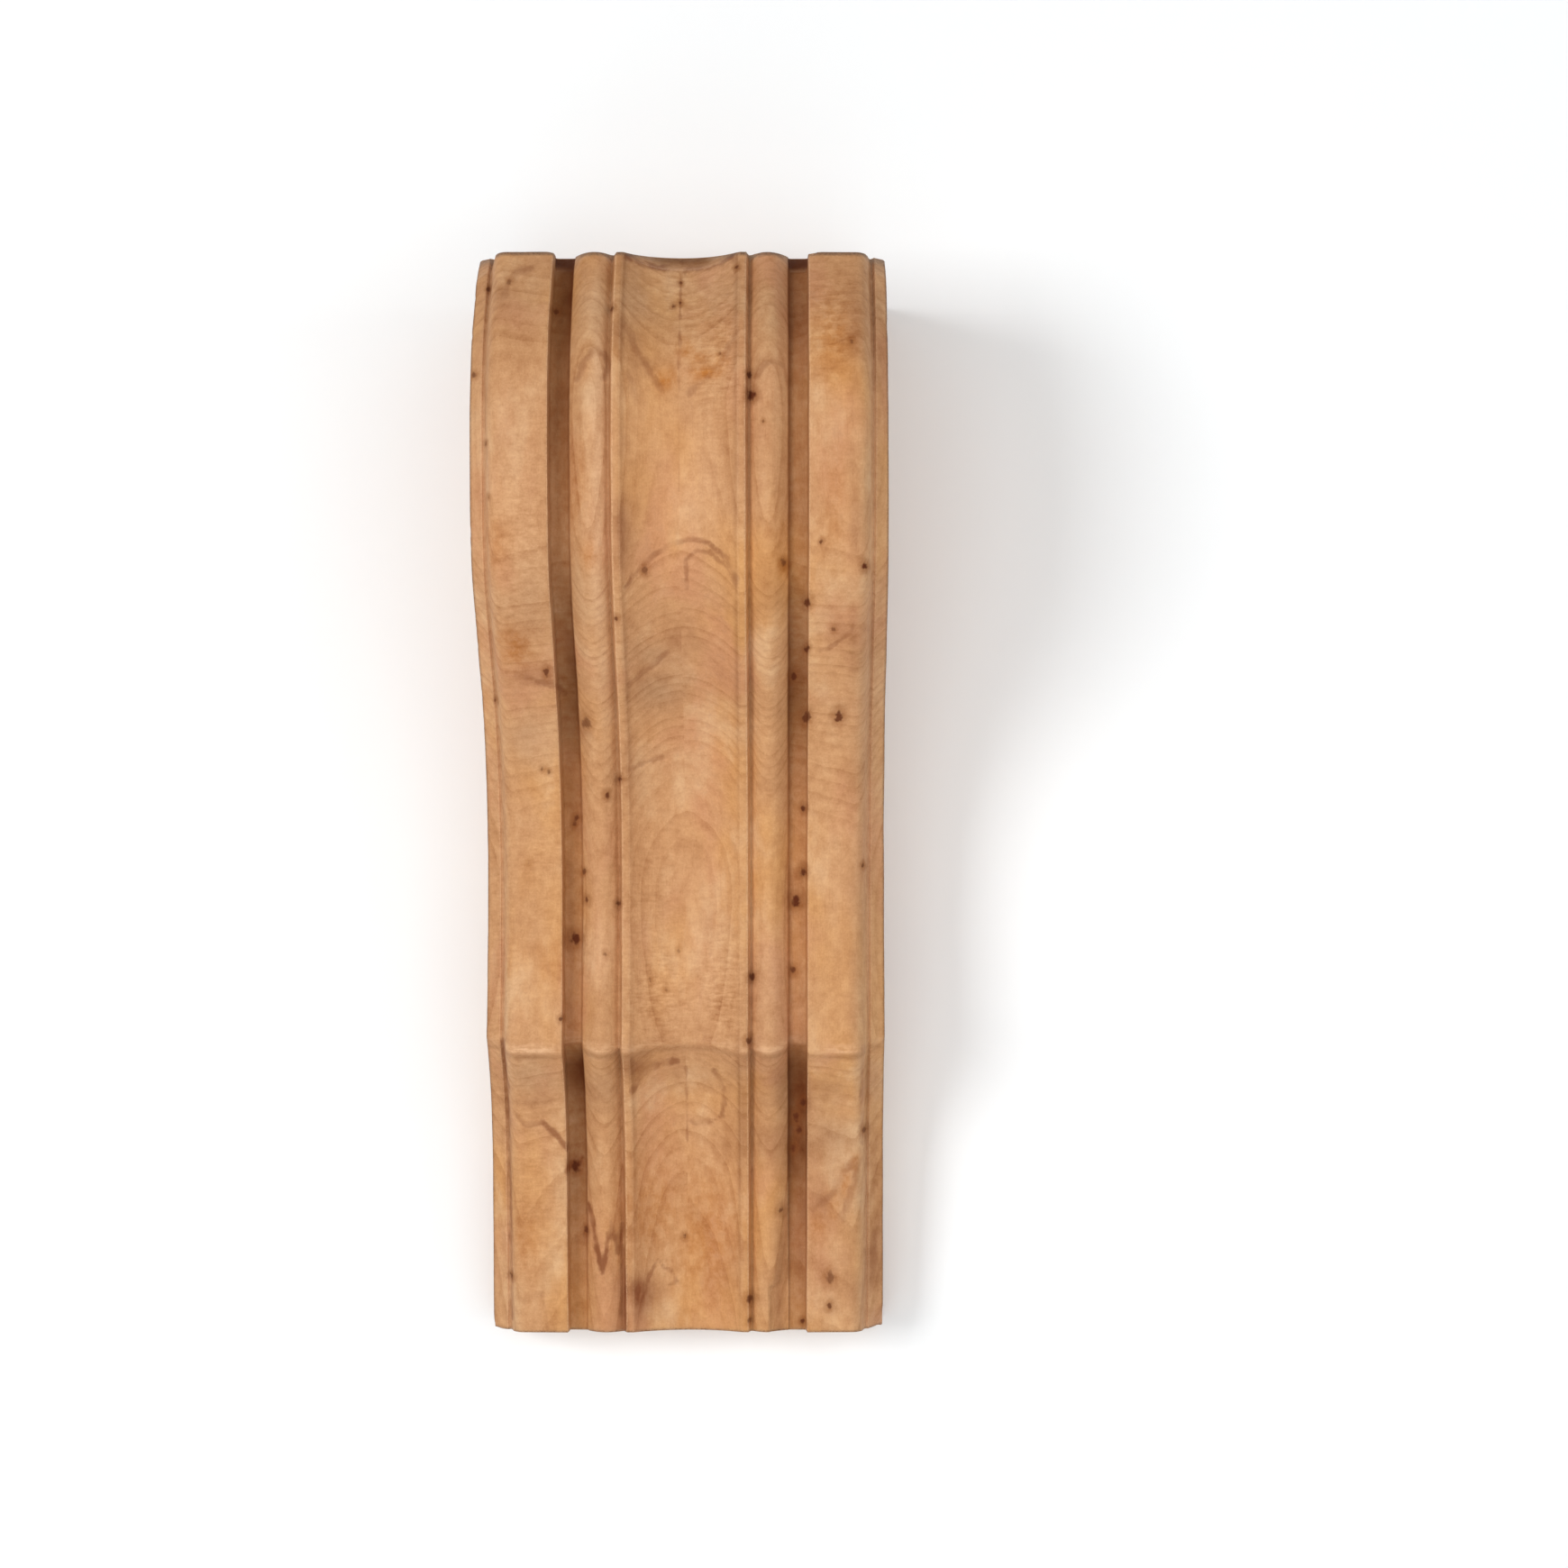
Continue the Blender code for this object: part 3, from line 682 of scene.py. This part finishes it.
# Where the dirt and painted shade lie, and the channels' painted light, and how far each reaches
GROOVE_LAP = 0.0002
GROOVE_FLOOR_DEPTHS = (0.0030, 0.0060)
GROOVE_TOP_HEIGHTS = (HEIGHT - 0.0050, HEIGHT - 0.0020)
FLUTE_FLOOR_DEPTHS = (0.0035, 0.0055)
FLUTE_TOP_HEIGHTS = (HEIGHT - 0.0035, HEIGHT - 0.0018)
VEE_BOTTOM = BEAD_START - 0.0001
VEE_REACH = 0.0004
CHANNEL_REACH = 0.0008
CHANNEL_LIGHT_REACH = 0.0009
FLUTE_EDGE = FLUTE_WIDTH / 2.0 - 0.0006
FLUTE_EDGE_REACH = 0.0007
UNDER_NOSE = 0.080
UNDER_NOSE_REACH = 0.016

# Grimy rims: heights at the top, negative heights at the foot, and offsets from the side
TOP_RIM = (HEIGHT - 0.0019, HEIGHT - 0.0008)
FOOT_RIM = (-0.0012, -0.0003)
SIDE_RIM = (-0.0007, -0.0002)
CLEAN_BY_WALL = 0.004

# Bands along the crease of the nose: how far above it and their reach, in millimetres.  The first
# is worn wood with a painted highlight above the crease, the second a painted shade just under it,
# and the third where the arris isn't worn pale
POLISH_AND_HIGHLIGHT_BAND = (1.0, 1.3)
SHADED_BAND = (-1.6, 0.9)
DULL_BAND = (0.0, 2.0)

# Beyond this many of its own sizes, a knot or a dark line has no effect
KNOT_REACH = 5.0
STREAK_REACH = 5.0

# A knot's width as a share of its height
KNOT_SLIMNESS = 0.8

# How proud or how deep a point is where an arris or a crease is fully sharp
SHARP_ARRIS = 0.00025
SHARP_CREASE = 0.00030


def patches(places, table):
    """How strong a table's patches are at each (across, up) place in millimetres."""
    share = np.zeros(len(places))
    for across, up, half_width, half_height, strength in table:
        away = ((places[:, 0] - across) / half_width) ** 2 + ((places[:, 1] - up) / half_height) ** 2
        share = np.maximum(share, strength * np.exp(-away))
    return share


def nearest_knot(places):
    """For each place, how many knot sizes away the nearest knot is, and how dark that knot is."""
    best = np.full(len(places), KNOT_REACH)
    darkness = np.zeros(len(places))
    for across, up, size, strength in KNOTS:
        away = np.hypot(places[:, 0] - across, KNOT_SLIMNESS * (places[:, 1] - up)) / size
        closer = away < best
        best[closer] = away[closer]
        darkness[closer] = strength
    return best, darkness


def nearest_streak(places):
    """For each place, how many half widths away the nearest dark line is, and how dark it is."""
    best = np.full(len(places), STREAK_REACH)
    darkness = np.zeros(len(places))
    for half_width, strength, *points in STREAKS:
        for start, end in zip(points, points[1:]):
            start, end = np.array(start, float), np.array(end, float)
            run = end - start
            share = np.clip(((places - start) @ run) / (run @ run), 0.0, 1.0)
            offset = places - start - share[:, None] * run
            away = np.hypot(offset[:, 0], offset[:, 1]) / half_width
            closer = away < best
            best[closer] = away[closer]
            darkness[closer] = strength
    return best, darkness


def by_side(across, pair):
    """The first of the pair on the left of the centre line, and the second on the right."""
    return np.where(across < 0.0, pair[0], pair[1])


def in_groove(across):
    """Whether each point lies across a groove."""
    return (np.abs(across) > BEAD_END - GROOVE_LAP) & (np.abs(across) < BAND_START + GROOVE_LAP)


def groove_dirt_and_shade(points, depths):
    """How dark each point is painted in the groove, vee, channel or flute edge that it lies in: partly dirt,
    and partly painted shade that follows the face's tilt by height and darkens the top ends.
    """
    across, _, up = points.T
    aside = np.abs(across)
    groove = in_groove(across)
    inner = by_side(across, GROOVE_INNER_DIRT_AND_SHADE)
    wall_to_wall = inner - (inner - GROOVE_OUTER_DIRT_AND_SHADE) * (aside - BEAD_END) / GROOVE_WIDTH
    share = np.clip(depths / GROOVE_DEPTH, 0.0, 1.0) * wall_to_wall * groove
    vee = by_side(across, VEE_DIRT_AND_SHADE) * near(aside - VEE_BOTTOM, VEE_REACH)
    channel = CHANNEL_DIRT_AND_SHADE * near(aside - CHANNEL_BOTTOM, CHANNEL_REACH)
    flute_edge = FLUTE_EDGE_DIRT_AND_SHADE * near(aside - FLUTE_EDGE, FLUTE_EDGE_REACH)
    share = np.maximum.reduce([share, vee, channel, flute_edge])

    # Painted shade by height on top of the dirt: darker where the face tilts up or down
    heights, left, right = zip(*GROOVE_DIRT_AND_SHADE)
    up_mm = up * MILLIMETRES
    share *= by_side(across, (np.interp(up_mm, heights, left), np.interp(up_mm, heights, right)))

    # Dirt and painted shade at the top ends of the grooves and the flute
    groove_top = flat_shape(up, *GROOVE_TOP_HEIGHTS) * groove
    groove_top = groove_top * flat_shape(depths, *GROOVE_FLOOR_DEPTHS)
    flute_top = flat_shape(up, *FLUTE_TOP_HEIGHTS) * (aside < BEAD_START)
    flute_top = flute_top * flat_shape(depths, *FLUTE_FLOOR_DEPTHS)
    share = np.maximum.reduce([share, GROOVE_TOP_DIRT_AND_SHADE * groove_top, FLUTE_TOP_DIRT_AND_SHADE * flute_top])
    return share * (depths >= 0.0)


def channel_painted_light(points):
    """Painted light that lifts the shade in the channels, except under the nose, where they stay dark."""
    across, _, up = points.T
    channel_light = near(np.abs(across) - CHANNEL_BOTTOM, CHANNEL_LIGHT_REACH)
    under_nose = near(up - UNDER_NOSE, UNDER_NOSE_REACH)
    return by_side(across, CHANNEL_PAINTED_LIGHT) * channel_light * (1.0 - under_nose)


def nose_marks(points, depths):
    """How strong the worn wood and painted highlight above the nose's crease are, how dark the painted shade
    just under it is, and where its arris isn't worn.
    """
    above = (points[:, 2] - nose_height(depths)) * MILLIMETRES
    worn = np.interp(points[:, 0] * MILLIMETRES, NOSE_WEAR_PLACES, NOSE_WEAR_DEPTHS) / NOSE_WEAR_MOST
    on_front = depths >= 0.0
    polish_and_highlight, under_crease_shade, dull = [
        near(above - middle, reach) * on_front for middle, reach in (POLISH_AND_HIGHLIGHT_BAND, SHADED_BAND, DULL_BAND)
    ]
    return polish_and_highlight * worn, under_crease_shade * (0.3 + 0.5 * worn), dull * np.clip(1.0 - 1.5 * worn, 0.0, 1.0)


def edge_grime(points, depths):
    """Grey wear along the outer arrises: the top and foot edges and the sides of the strips."""
    across, out, up = points.T
    top = flat_shape(up, *TOP_RIM)
    foot = flat_shape(-up, *FOOT_RIM)
    side = flat_shape(np.abs(across) - side_at(up), *SIDE_RIM) * (depths >= 0.0)
    return np.maximum.reduce([top, foot, side]) * (out > CLEAN_BY_WALL)


def store(mesh, name, values):
    layer = mesh.attributes.new(name, "FLOAT", "POINT")
    layer.data.foreach_set("value", values.astype(np.float32))


def store_marks(mesh, points, depths, sharpness, on_skin):
    """Keeps on the mesh what the wood's shader draws at each place."""
    on_front = (depths >= 0.0).astype(float)
    places = points[:, [0, 2]] * MILLIMETRES
    knot, knot_darkness = nearest_knot(places)
    streak, streak_darkness = nearest_streak(places)
    store(mesh, "knot", knot)
    store(mesh, "knot_darkness", knot_darkness * on_front)
    store(mesh, "streak", streak)
    store(mesh, "streak_darkness", streak_darkness * on_front)
    floor = flat_shape(depths, *GROOVE_FLOOR_DEPTHS) * in_groove(points[:, 0])
    store(mesh, "amber", np.maximum(patches(places, AMBER_PATCHES), GROOVE_AMBER * floor) * on_front)
    store(mesh, "brown", patches(places, BROWN_PATCHES_AND_PAINTED_SHADE) * on_front)
    store(mesh, "grey", patches(places, GREY_PATCHES_AND_PAINTED_SHADE) * on_front)
    store(mesh, "curly", patches(places, CURLY_PATCHES) * on_front)
    # Pale patches, some of them painted light, and the channels' painted light
    store(mesh, "pale", np.maximum(patches(places, PALE_PATCHES_AND_PAINTED_LIGHT), channel_painted_light(points)) * on_front)
    polish_and_highlight, under_crease_shade, dull = nose_marks(points, depths)
    # Dirt and painted shade in the hollows, and the painted shade just under the nose's crease
    store(mesh, "dirt_and_shade", np.maximum(groove_dirt_and_shade(points, depths), NOSE_SHADE * under_crease_shade))
    # The pale band above the nose's crease: worn wood and a painted highlight
    store(mesh, "polish_and_highlight", polish_and_highlight)
    store(mesh, "grime", edge_grime(points, depths) * on_skin)
    cut = bead_cut_places(points[:, 0] + BEAD_CUT_MARGIN, points[:, 2] - BEAD_CUT_MARGIN, depths)
    dull[cut] = 1.0
    store(mesh, "worn", np.clip(sharpness / SHARP_ARRIS, 0.0, 1.0) * (1.0 - dull))
    store(mesh, "crevice", np.clip(-sharpness / SHARP_CREASE, 0.0, 1.0))


class Graph:
    """A material whose nodes are added by one call each."""

    def __init__(self, name):
        self.material = bpy.data.materials.new(name)
        self.material.use_nodes = True
        self.tree = self.material.node_tree
        self.shader = self.tree.nodes["Principled BSDF"]

    def add(self, kind, inputs=None, **settings):
        """A node of a kind, with its settings, its input values and its links from other sockets."""
        node = self.tree.nodes.new("ShaderNode" + kind)
        for name, value in settings.items():
            setattr(node, name, value)
        for name, value in (inputs or {}).items():
            if isinstance(value, bpy.types.NodeSocket):
                self.tree.links.new(value, node.inputs[name])
            else:
                node.inputs[name].default_value = value
        return node

    def math(self, operation, first, second=0.0, clamp=False):
        return self.add("Math", {0: first, 1: second}, operation=operation, use_clamp=clamp).outputs[0]

    def mix(self, share, first, second, blend="MIX"):
        node = self.add("Mix", {0: share, 6: first, 7: second}, data_type="RGBA", blend_type=blend)
        return node.outputs[2]

    def ramp(self, value, low, high, to_low=0.0, to_high=1.0):
        """A smooth step that goes from to_low at low to to_high at high."""
        inputs = {"Value": value, "From Min": low, "From Max": high, "To Min": to_low, "To Max": to_high}
        return self.add("MapRange", inputs, interpolation_type="SMOOTHSTEP").outputs["Result"]

    def scaled(self, vector, factors):
        return self.add("VectorMath", {0: vector, 1: factors}, operation="MULTIPLY").outputs[0]

    def noise(self, vector, factors, detail=2.0, seed=None, roughness=0.5):
        """Noise from 0 to 1 whose waves per metre are given along each axis."""
        inputs = {"Vector": self.scaled(vector, factors), "Scale": 1.0, "Detail": detail}
        inputs["Roughness"] = roughness
        if seed is not None:
            inputs["W"] = seed
        return self.add("TexNoise", inputs, noise_dimensions="3D" if seed is None else "4D").outputs[0]

    def swing(self, value, amount):
        """A noise from 0 to 1 turned into a change of about the given amount to either side."""
        return self.math("MULTIPLY", self.math("SUBTRACT", value, 0.5), 2.0 * amount)

    def attribute(self, name):
        return self.add("Attribute", attribute_name=name).outputs["Fac"]

    def drive(self, name, socket):
        """Links a socket to an input of the shader."""
        self.tree.links.new(socket, self.shader.inputs[name])

    def sum(self, *values):
        total = values[0]
        for value in values[1:]:
            total = self.math("ADD", total, value)
        return total

    def product(self, *values):
        total = values[0]
        for value in values[1:]:
            total = self.math("MULTIPLY", total, value)
        return total


# The wood
RING_SPACING = 0.0023
BASE_TONE = (0.560, 0.288, 0.130, 1.0)
GOLD_TONE = (0.560, 0.268, 0.096, 1.0)
PINK_TONE = (0.550, 0.252, 0.125, 1.0)
PALE_TONE = (0.600, 0.348, 0.178, 1.0)
AMBER_TONE = (0.460, 0.160, 0.028, 1.0)
GREY_TONE = (0.460, 0.275, 0.148, 1.0)
BROWN_TONE = (0.230, 0.070, 0.022, 1.0)
DIRT_AND_SHADE_TONE = (0.125, 0.034, 0.010, 1.0)
KNOT_TONE = (0.115, 0.030, 0.012, 1.0)
GRIME_TONE = (0.110, 0.058, 0.034, 1.0)
WORN_AND_LIT_TONE = (0.780, 0.470, 0.270, 1.0)
SHEEN = 0.20


def growth_lines(g, place, axes, board):
    """Thin dark lines where the surface crosses the growth layers, which lie parallel to the wall."""
    warp = g.swing(g.noise(place, (16.0, 16.0, 6.0), 1.0, board), 0.004)
    ripple = g.swing(g.noise(place, (70.0, 70.0, 24.0), 1.0, board), 0.0011)
    jitter = g.swing(g.noise(place, (500.0, 500.0, 300.0), 1.0), 0.00018)
    arch = g.product(axes[0], axes[0], 1.4)
    layer = g.math("SUBTRACT", g.sum(warp, ripple, jitter, arch), axes[1])
    rings = g.math("DIVIDE", layer, RING_SPACING)
    phase = g.math("FRACT", rings)
    strength = g.add("TexWhiteNoise", {"W": g.math("FLOOR", rings)}, noise_dimensions="1D").outputs["Value"]
    line = g.product(g.ramp(phase, 0.40, 0.95), g.ramp(phase, 0.95, 1.0, 1.0, 0.0))
    return g.product(line, g.ramp(strength, 0.0, 1.0, 0.2, 1.0))


def wood_noises(g, place, board):
    """The noises that the wood's colour and relief are made of, from coarse to fine."""
    return SimpleNamespace(
        patch=g.noise(place, (30.0, 30.0, 15.0), 3.0, 4.0),
        haze=g.noise(place, (48.0, 48.0, 20.0), 3.0, 9.0),
        cloud=g.noise(place, (60.0, 60.0, 30.0), 4.0, g.product(board, 0.3), 0.6),
        mottle=g.noise(place, (330.0, 330.0, 240.0), 3.0, roughness=0.6),
        fleck=g.noise(place, (260.0, 260.0, 900.0), 3.0, roughness=0.6),
        fibre=g.noise(place, (750.0, 750.0, 45.0), 3.0),
        grit=g.noise(place, (1500.0, 1500.0, 1500.0), 3.0, roughness=0.7),
        pore=g.noise(place, (2400.0, 2400.0, 170.0), 2.0),
    )


def stained(g, n):
    """The wood's tones, with the amber, grey, brown and pale patches over them; some grey and brown patches
    are painted shade, and the pale mark holds painted light as well as pale wood.
    """
    amber = g.product(g.attribute("amber"), g.ramp(n.mottle, 0.38, 0.62, 1.0, 0.50))
    grey = g.product(g.attribute("grey"), g.ramp(n.haze, 0.30, 0.60, 0.75, 0.3))
    brown = g.product(g.attribute("brown"), g.ramp(n.cloud, 0.35, 0.60, 1.0, 0.3))
    pale = g.math("MULTIPLY", g.attribute("pale"), 0.6)
    colour = g.mix(g.ramp(n.patch, 0.46, 0.66), BASE_TONE, GOLD_TONE)
    colour = g.mix(g.ramp(n.haze, 0.48, 0.66, 0.0, 0.6), colour, PINK_TONE)
    colour = g.mix(g.ramp(n.cloud, 0.50, 0.70, 0.0, 0.7), colour, PALE_TONE)
    colour = g.mix(amber, colour, AMBER_TONE)
    colour = g.mix(grey, colour, GREY_TONE)
    colour = g.mix(brown, colour, BROWN_TONE)
    # Pale patches and the channels' painted light
    return g.mix(pale, colour, WORN_AND_LIT_TONE)


def figured(g, n, colour, lines, board, curly):
    """The colour made lighter and darker by the grain, the growth lines and the curl."""
    tone = g.sum(
        1.0,
        g.swing(n.cloud, 0.24),
        g.swing(n.patch, 0.24),
        g.swing(n.mottle, 0.28),
        g.swing(n.fibre, 0.07),
        g.swing(n.grit, 0.20),
        g.product(g.swing(n.fleck, 1.0), g.sum(0.10, g.product(curly, 0.42))),
        g.product(lines, -0.17),
        g.product(board, 0.025),
        g.ramp(n.pore, 0.28, 0.42, -0.07, 0.0),
    )
    red, green, blue = [g.math("POWER", tone, power) for power in (0.75, 1.10, 1.45)]
    shade = g.add("CombineColor", {0: red, 1: green, 2: blue}).outputs[0]
    colour = g.mix(1.0, colour, shade, "MULTIPLY")
    smudge = g.ramp(g.sum(n.mottle, g.product(n.haze, 0.8)), 1.02, 1.22, 0.0, 0.20)
    return g.mix(smudge, colour, BROWN_TONE)


def streaked(g, place, colour):
    """The colour with the dark lines, which waver and are faint here and there."""
    waver = g.swing(g.noise(place, (330.0, 330.0, 260.0), 3.0), 2.2)
    broken = g.ramp(g.noise(place, (130.0, 130.0, 90.0), 2.0), 0.32, 0.60, 0.25, 1.0)
    off_line = g.math("ADD", g.attribute("streak"), waver)
    mark = g.product(g.ramp(off_line, 0.3, 2.4, 1.0, 0.0), g.attribute("streak_darkness"), broken)
    return g.mix(mark, colour, BROWN_TONE)


def used(g, n, colour, dirt_and_shade):
    """The colour with pale worn arrises, the nose's wear and painted highlight, hollows darkened by dirt and
    painted shade, darker creases and grimy outer edges.
    """
    worn = g.product(g.ramp(g.attribute("worn"), 0.25, 0.9), g.ramp(n.grit, 0.35, 0.6, 0.15, 0.55))
    polish_and_highlight = g.product(g.attribute("polish_and_highlight"), g.ramp(n.fleck, 0.35, 0.60, 0.25, 0.9))
    crevice = g.product(g.ramp(g.attribute("crevice"), 0.2, 1.0), 0.22)
    unmarked = g.math("SUBTRACT", 1.0, dirt_and_shade, clamp=True)
    grime = g.product(g.attribute("grime"), g.ramp(n.grit, 0.3, 0.6, 0.95, 0.55), unmarked)
    colour = g.mix(worn, colour, WORN_AND_LIT_TONE)
    # The pale band above the nose's crease: worn wood and a painted highlight
    colour = g.mix(polish_and_highlight, colour, WORN_AND_LIT_TONE)
    # Dirt and painted shade in the hollows and under the nose's crease
    colour = g.mix(g.math("MULTIPLY", dirt_and_shade, 1.0, clamp=True), colour, DIRT_AND_SHADE_TONE)
    colour = g.mix(crevice, colour, DIRT_AND_SHADE_TONE)
    return g.mix(grime, colour, GRIME_TONE)


def knotted(g, colour, knot_away):
    """The colour with the pin knots, each with a brown ring round its dark core."""
    darkness = g.attribute("knot_darkness")
    ring = g.product(g.ramp(knot_away, 0.9, 2.6, 0.50, 0.0), darkness)
    core = g.product(g.ramp(knot_away, 0.45, 1.05, 1.0, 0.0), darkness)
    return g.mix(core, g.mix(ring, colour, BROWN_TONE), KNOT_TONE)


def carved_wood():
    """Bare hardwood of two glued boards, with knots, stains, worn arrises, grooves darkened by dirt and
    painted shade, and patches of painted light and painted shade.
    """
    g = Graph("carved_wood")
    place = g.add("TexCoord").outputs["Object"]
    axes = g.add("SeparateXYZ", {0: place}).outputs
    board = g.math("GREATER_THAN", axes[0], 0.0)
    n = wood_noises(g, place, board)
    curly = g.attribute("curly")
    # Dirt and painted shade, made uneven by the cloud noise
    dirt_and_shade = g.product(g.attribute("dirt_and_shade"), g.ramp(n.cloud, 0.3, 0.7, 1.05, 0.80))
    ragged = g.swing(g.noise(place, (600.0, 600.0, 450.0), 2.0), 0.8)
    knot_away = g.math("ADD", g.attribute("knot"), ragged)

    colour = figured(g, n, stained(g, n), growth_lines(g, place, axes, board), board, curly)
    colour = used(g, n, streaked(g, place, colour), dirt_and_shade)
    g.drive("Base Color", knotted(g, colour, knot_away))

    # Dirt, painted shade and knots shine less than the rest of the wood
    g.shader.inputs["Specular IOR Level"].default_value = SHEEN
    unmarked_sheen = g.ramp(dirt_and_shade, 0.0, 0.6, SHEEN, 0.1 * SHEEN)
    g.drive("Specular IOR Level", g.product(unmarked_sheen, g.ramp(knot_away, 0.9, 2.6, 0.1, 1.0)))
    g.drive("Roughness", g.ramp(g.sum(n.fibre, g.product(curly, 0.1)), 0.3, 0.7, 0.56, 0.70))

    curl = g.product(n.fleck, g.sum(0.4, g.product(curly, 1.4)))
    relief = g.sum(n.fibre, g.product(n.pore, 0.7), curl, g.product(n.grit, 0.5))
    bump = g.add("Bump", {"Strength": 0.5, "Distance": 0.00018, "Height": relief})
    g.drive("Normal", bump.outputs[0])
    return g.material


def make_corbel():
    """The carved block, which stands for the CAD solid."""
    mesh, *measures = corbel_mesh()
    store_marks(mesh, *measures)
    mesh.materials.append(carved_wood())
    carved = bpy.data.objects.new("corbel_carved", mesh)
    bpy.context.scene.collection.objects.link(carved)
    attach(carved, "root")
    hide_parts("corbel")


# The studio
STAGE_SIZE = 6.0
WALL_GAP = 0.0004
WALL_LAP = 0.002
FLOOR_DROP = 1.2
STAGE_COLOUR = (0.955, 0.972, 0.980, 1.0)
LIGHT_TARGET = (0.0, -0.05, 0.0)
LIGHTS = [
    # name, place, side of its square and watts
    ("key", (-0.98, -1.50, 0.16), 0.62, 14.5),
    ("front_fill", (0.25, -2.4, 0.1), 2.2, 21.5),
    ("right_fill", (1.3, -1.2, 0.0), 0.6, 4.6),
]
SKY_STRENGTH = 0.235


def matt(name, one_sided=False):
    """The stage's plain matt paint; a one-sided one isn't seen from behind."""
    g = Graph(name)
    g.shader.inputs["Base Color"].default_value = STAGE_COLOUR
    g.shader.inputs["Roughness"].default_value = 0.9
    g.shader.inputs["Specular IOR Level"].default_value = 0.1
    if one_sided:
        behind = g.add("NewGeometry").outputs["Backfacing"]
        clear = g.add("BsdfTransparent")
        both = g.add("MixShader", {0: behind, 1: g.shader.outputs[0], 2: clear.outputs[0]})
        g.tree.links.new(both.outputs[0], g.tree.nodes["Material Output"].inputs["Surface"])
    return g.material


def stage_sheet(name, places, faces, material):
    """A flat sheet of the stage."""
    mesh = bpy.data.meshes.new(name)
    mesh.from_pydata(places, [], faces)
    mesh.materials.append(material)
    sheet = bpy.data.objects.new(name, mesh)
    bpy.context.scene.collection.objects.link(sheet)


def make_wall():
    """The wall round the corbel's back, left open behind it."""
    half = STAGE_SIZE / 2.0
    edge = TOP_WIDTH / 2.0 - WALL_LAP
    rise = HEIGHT / 2.0 - WALL_LAP
    outer = [(-half, -half), (half, -half), (half, half), (-half, half)]
    inner = [(-edge, -rise), (edge, -rise), (edge, rise), (-edge, rise)]
    places = [(x, WALL_GAP, z) for x, z in outer + inner]
    faces = [(k, (k + 1) % 4, 4 + (k + 1) % 4, 4 + k) for k in range(4)]
    stage_sheet("wall", places, faces, matt("wall_paint", one_sided=True))


def make_floor():
    """The floor in front of the wall, far below the corbel."""
    half = STAGE_SIZE / 2.0
    corners = [(-half, WALL_GAP), (-half, -STAGE_SIZE), (half, -STAGE_SIZE), (half, WALL_GAP)]
    places = [(x, y, -FLOOR_DROP) for x, y in corners]
    stage_sheet("floor", places, [(0, 1, 2, 3)], matt("floor_paint"))


def make_lights():
    """The soft lights, all turned to the corbel, and an even white sky."""
    for name, place, side, watts in LIGHTS:
        data = bpy.data.lights.new(name, "AREA")
        data.size = side
        data.energy = watts
        light = bpy.data.objects.new(name, data)
        light.location = place
        light.rotation_euler = (Vector(LIGHT_TARGET) - Vector(place)).to_track_quat("-Z", "Y").to_euler()
        bpy.context.scene.collection.objects.link(light)
    world = bpy.data.worlds.new("studio")
    world.use_nodes = True
    sky = world.node_tree.nodes["Background"]
    sky.inputs["Color"].default_value = (1.0, 1.0, 1.0, 1.0)
    sky.inputs["Strength"].default_value = SKY_STRENGTH
    bpy.context.scene.world = world


# The photograph's view: the camera stands square to the wall, a little right of the corbel's middle
CAMERA_DISTANCE = 1.090
CAMERA_RIGHT = 0.0311
CAMERA_DROP = 0.0115
SENSOR_WIDTH = 36.0
PHOTO_SIZE = 1740.0
FOCAL_PIXELS = 3635.0
VIEW_ROW = 940.0


def make_camera():
    """The camera of the photograph."""
    data = bpy.data.cameras.new("photo_view")
    data.sensor_width = SENSOR_WIDTH
    data.lens = FOCAL_PIXELS / PHOTO_SIZE * SENSOR_WIDTH
    data.shift_y = (VIEW_ROW - PHOTO_SIZE / 2.0) / PHOTO_SIZE
    camera = bpy.data.objects.new("photo_view", data)
    camera.location = (CAMERA_RIGHT, -CAMERA_DISTANCE, -CAMERA_DROP)
    camera.rotation_euler = (radians(90.0), 0.0, 0.0)
    bpy.context.scene.collection.objects.link(camera)
    bpy.context.scene.camera = camera


make_corbel()
make_wall()
make_floor()
make_lights()
make_camera()
bpy.context.scene.view_settings.view_transform = "Standard"
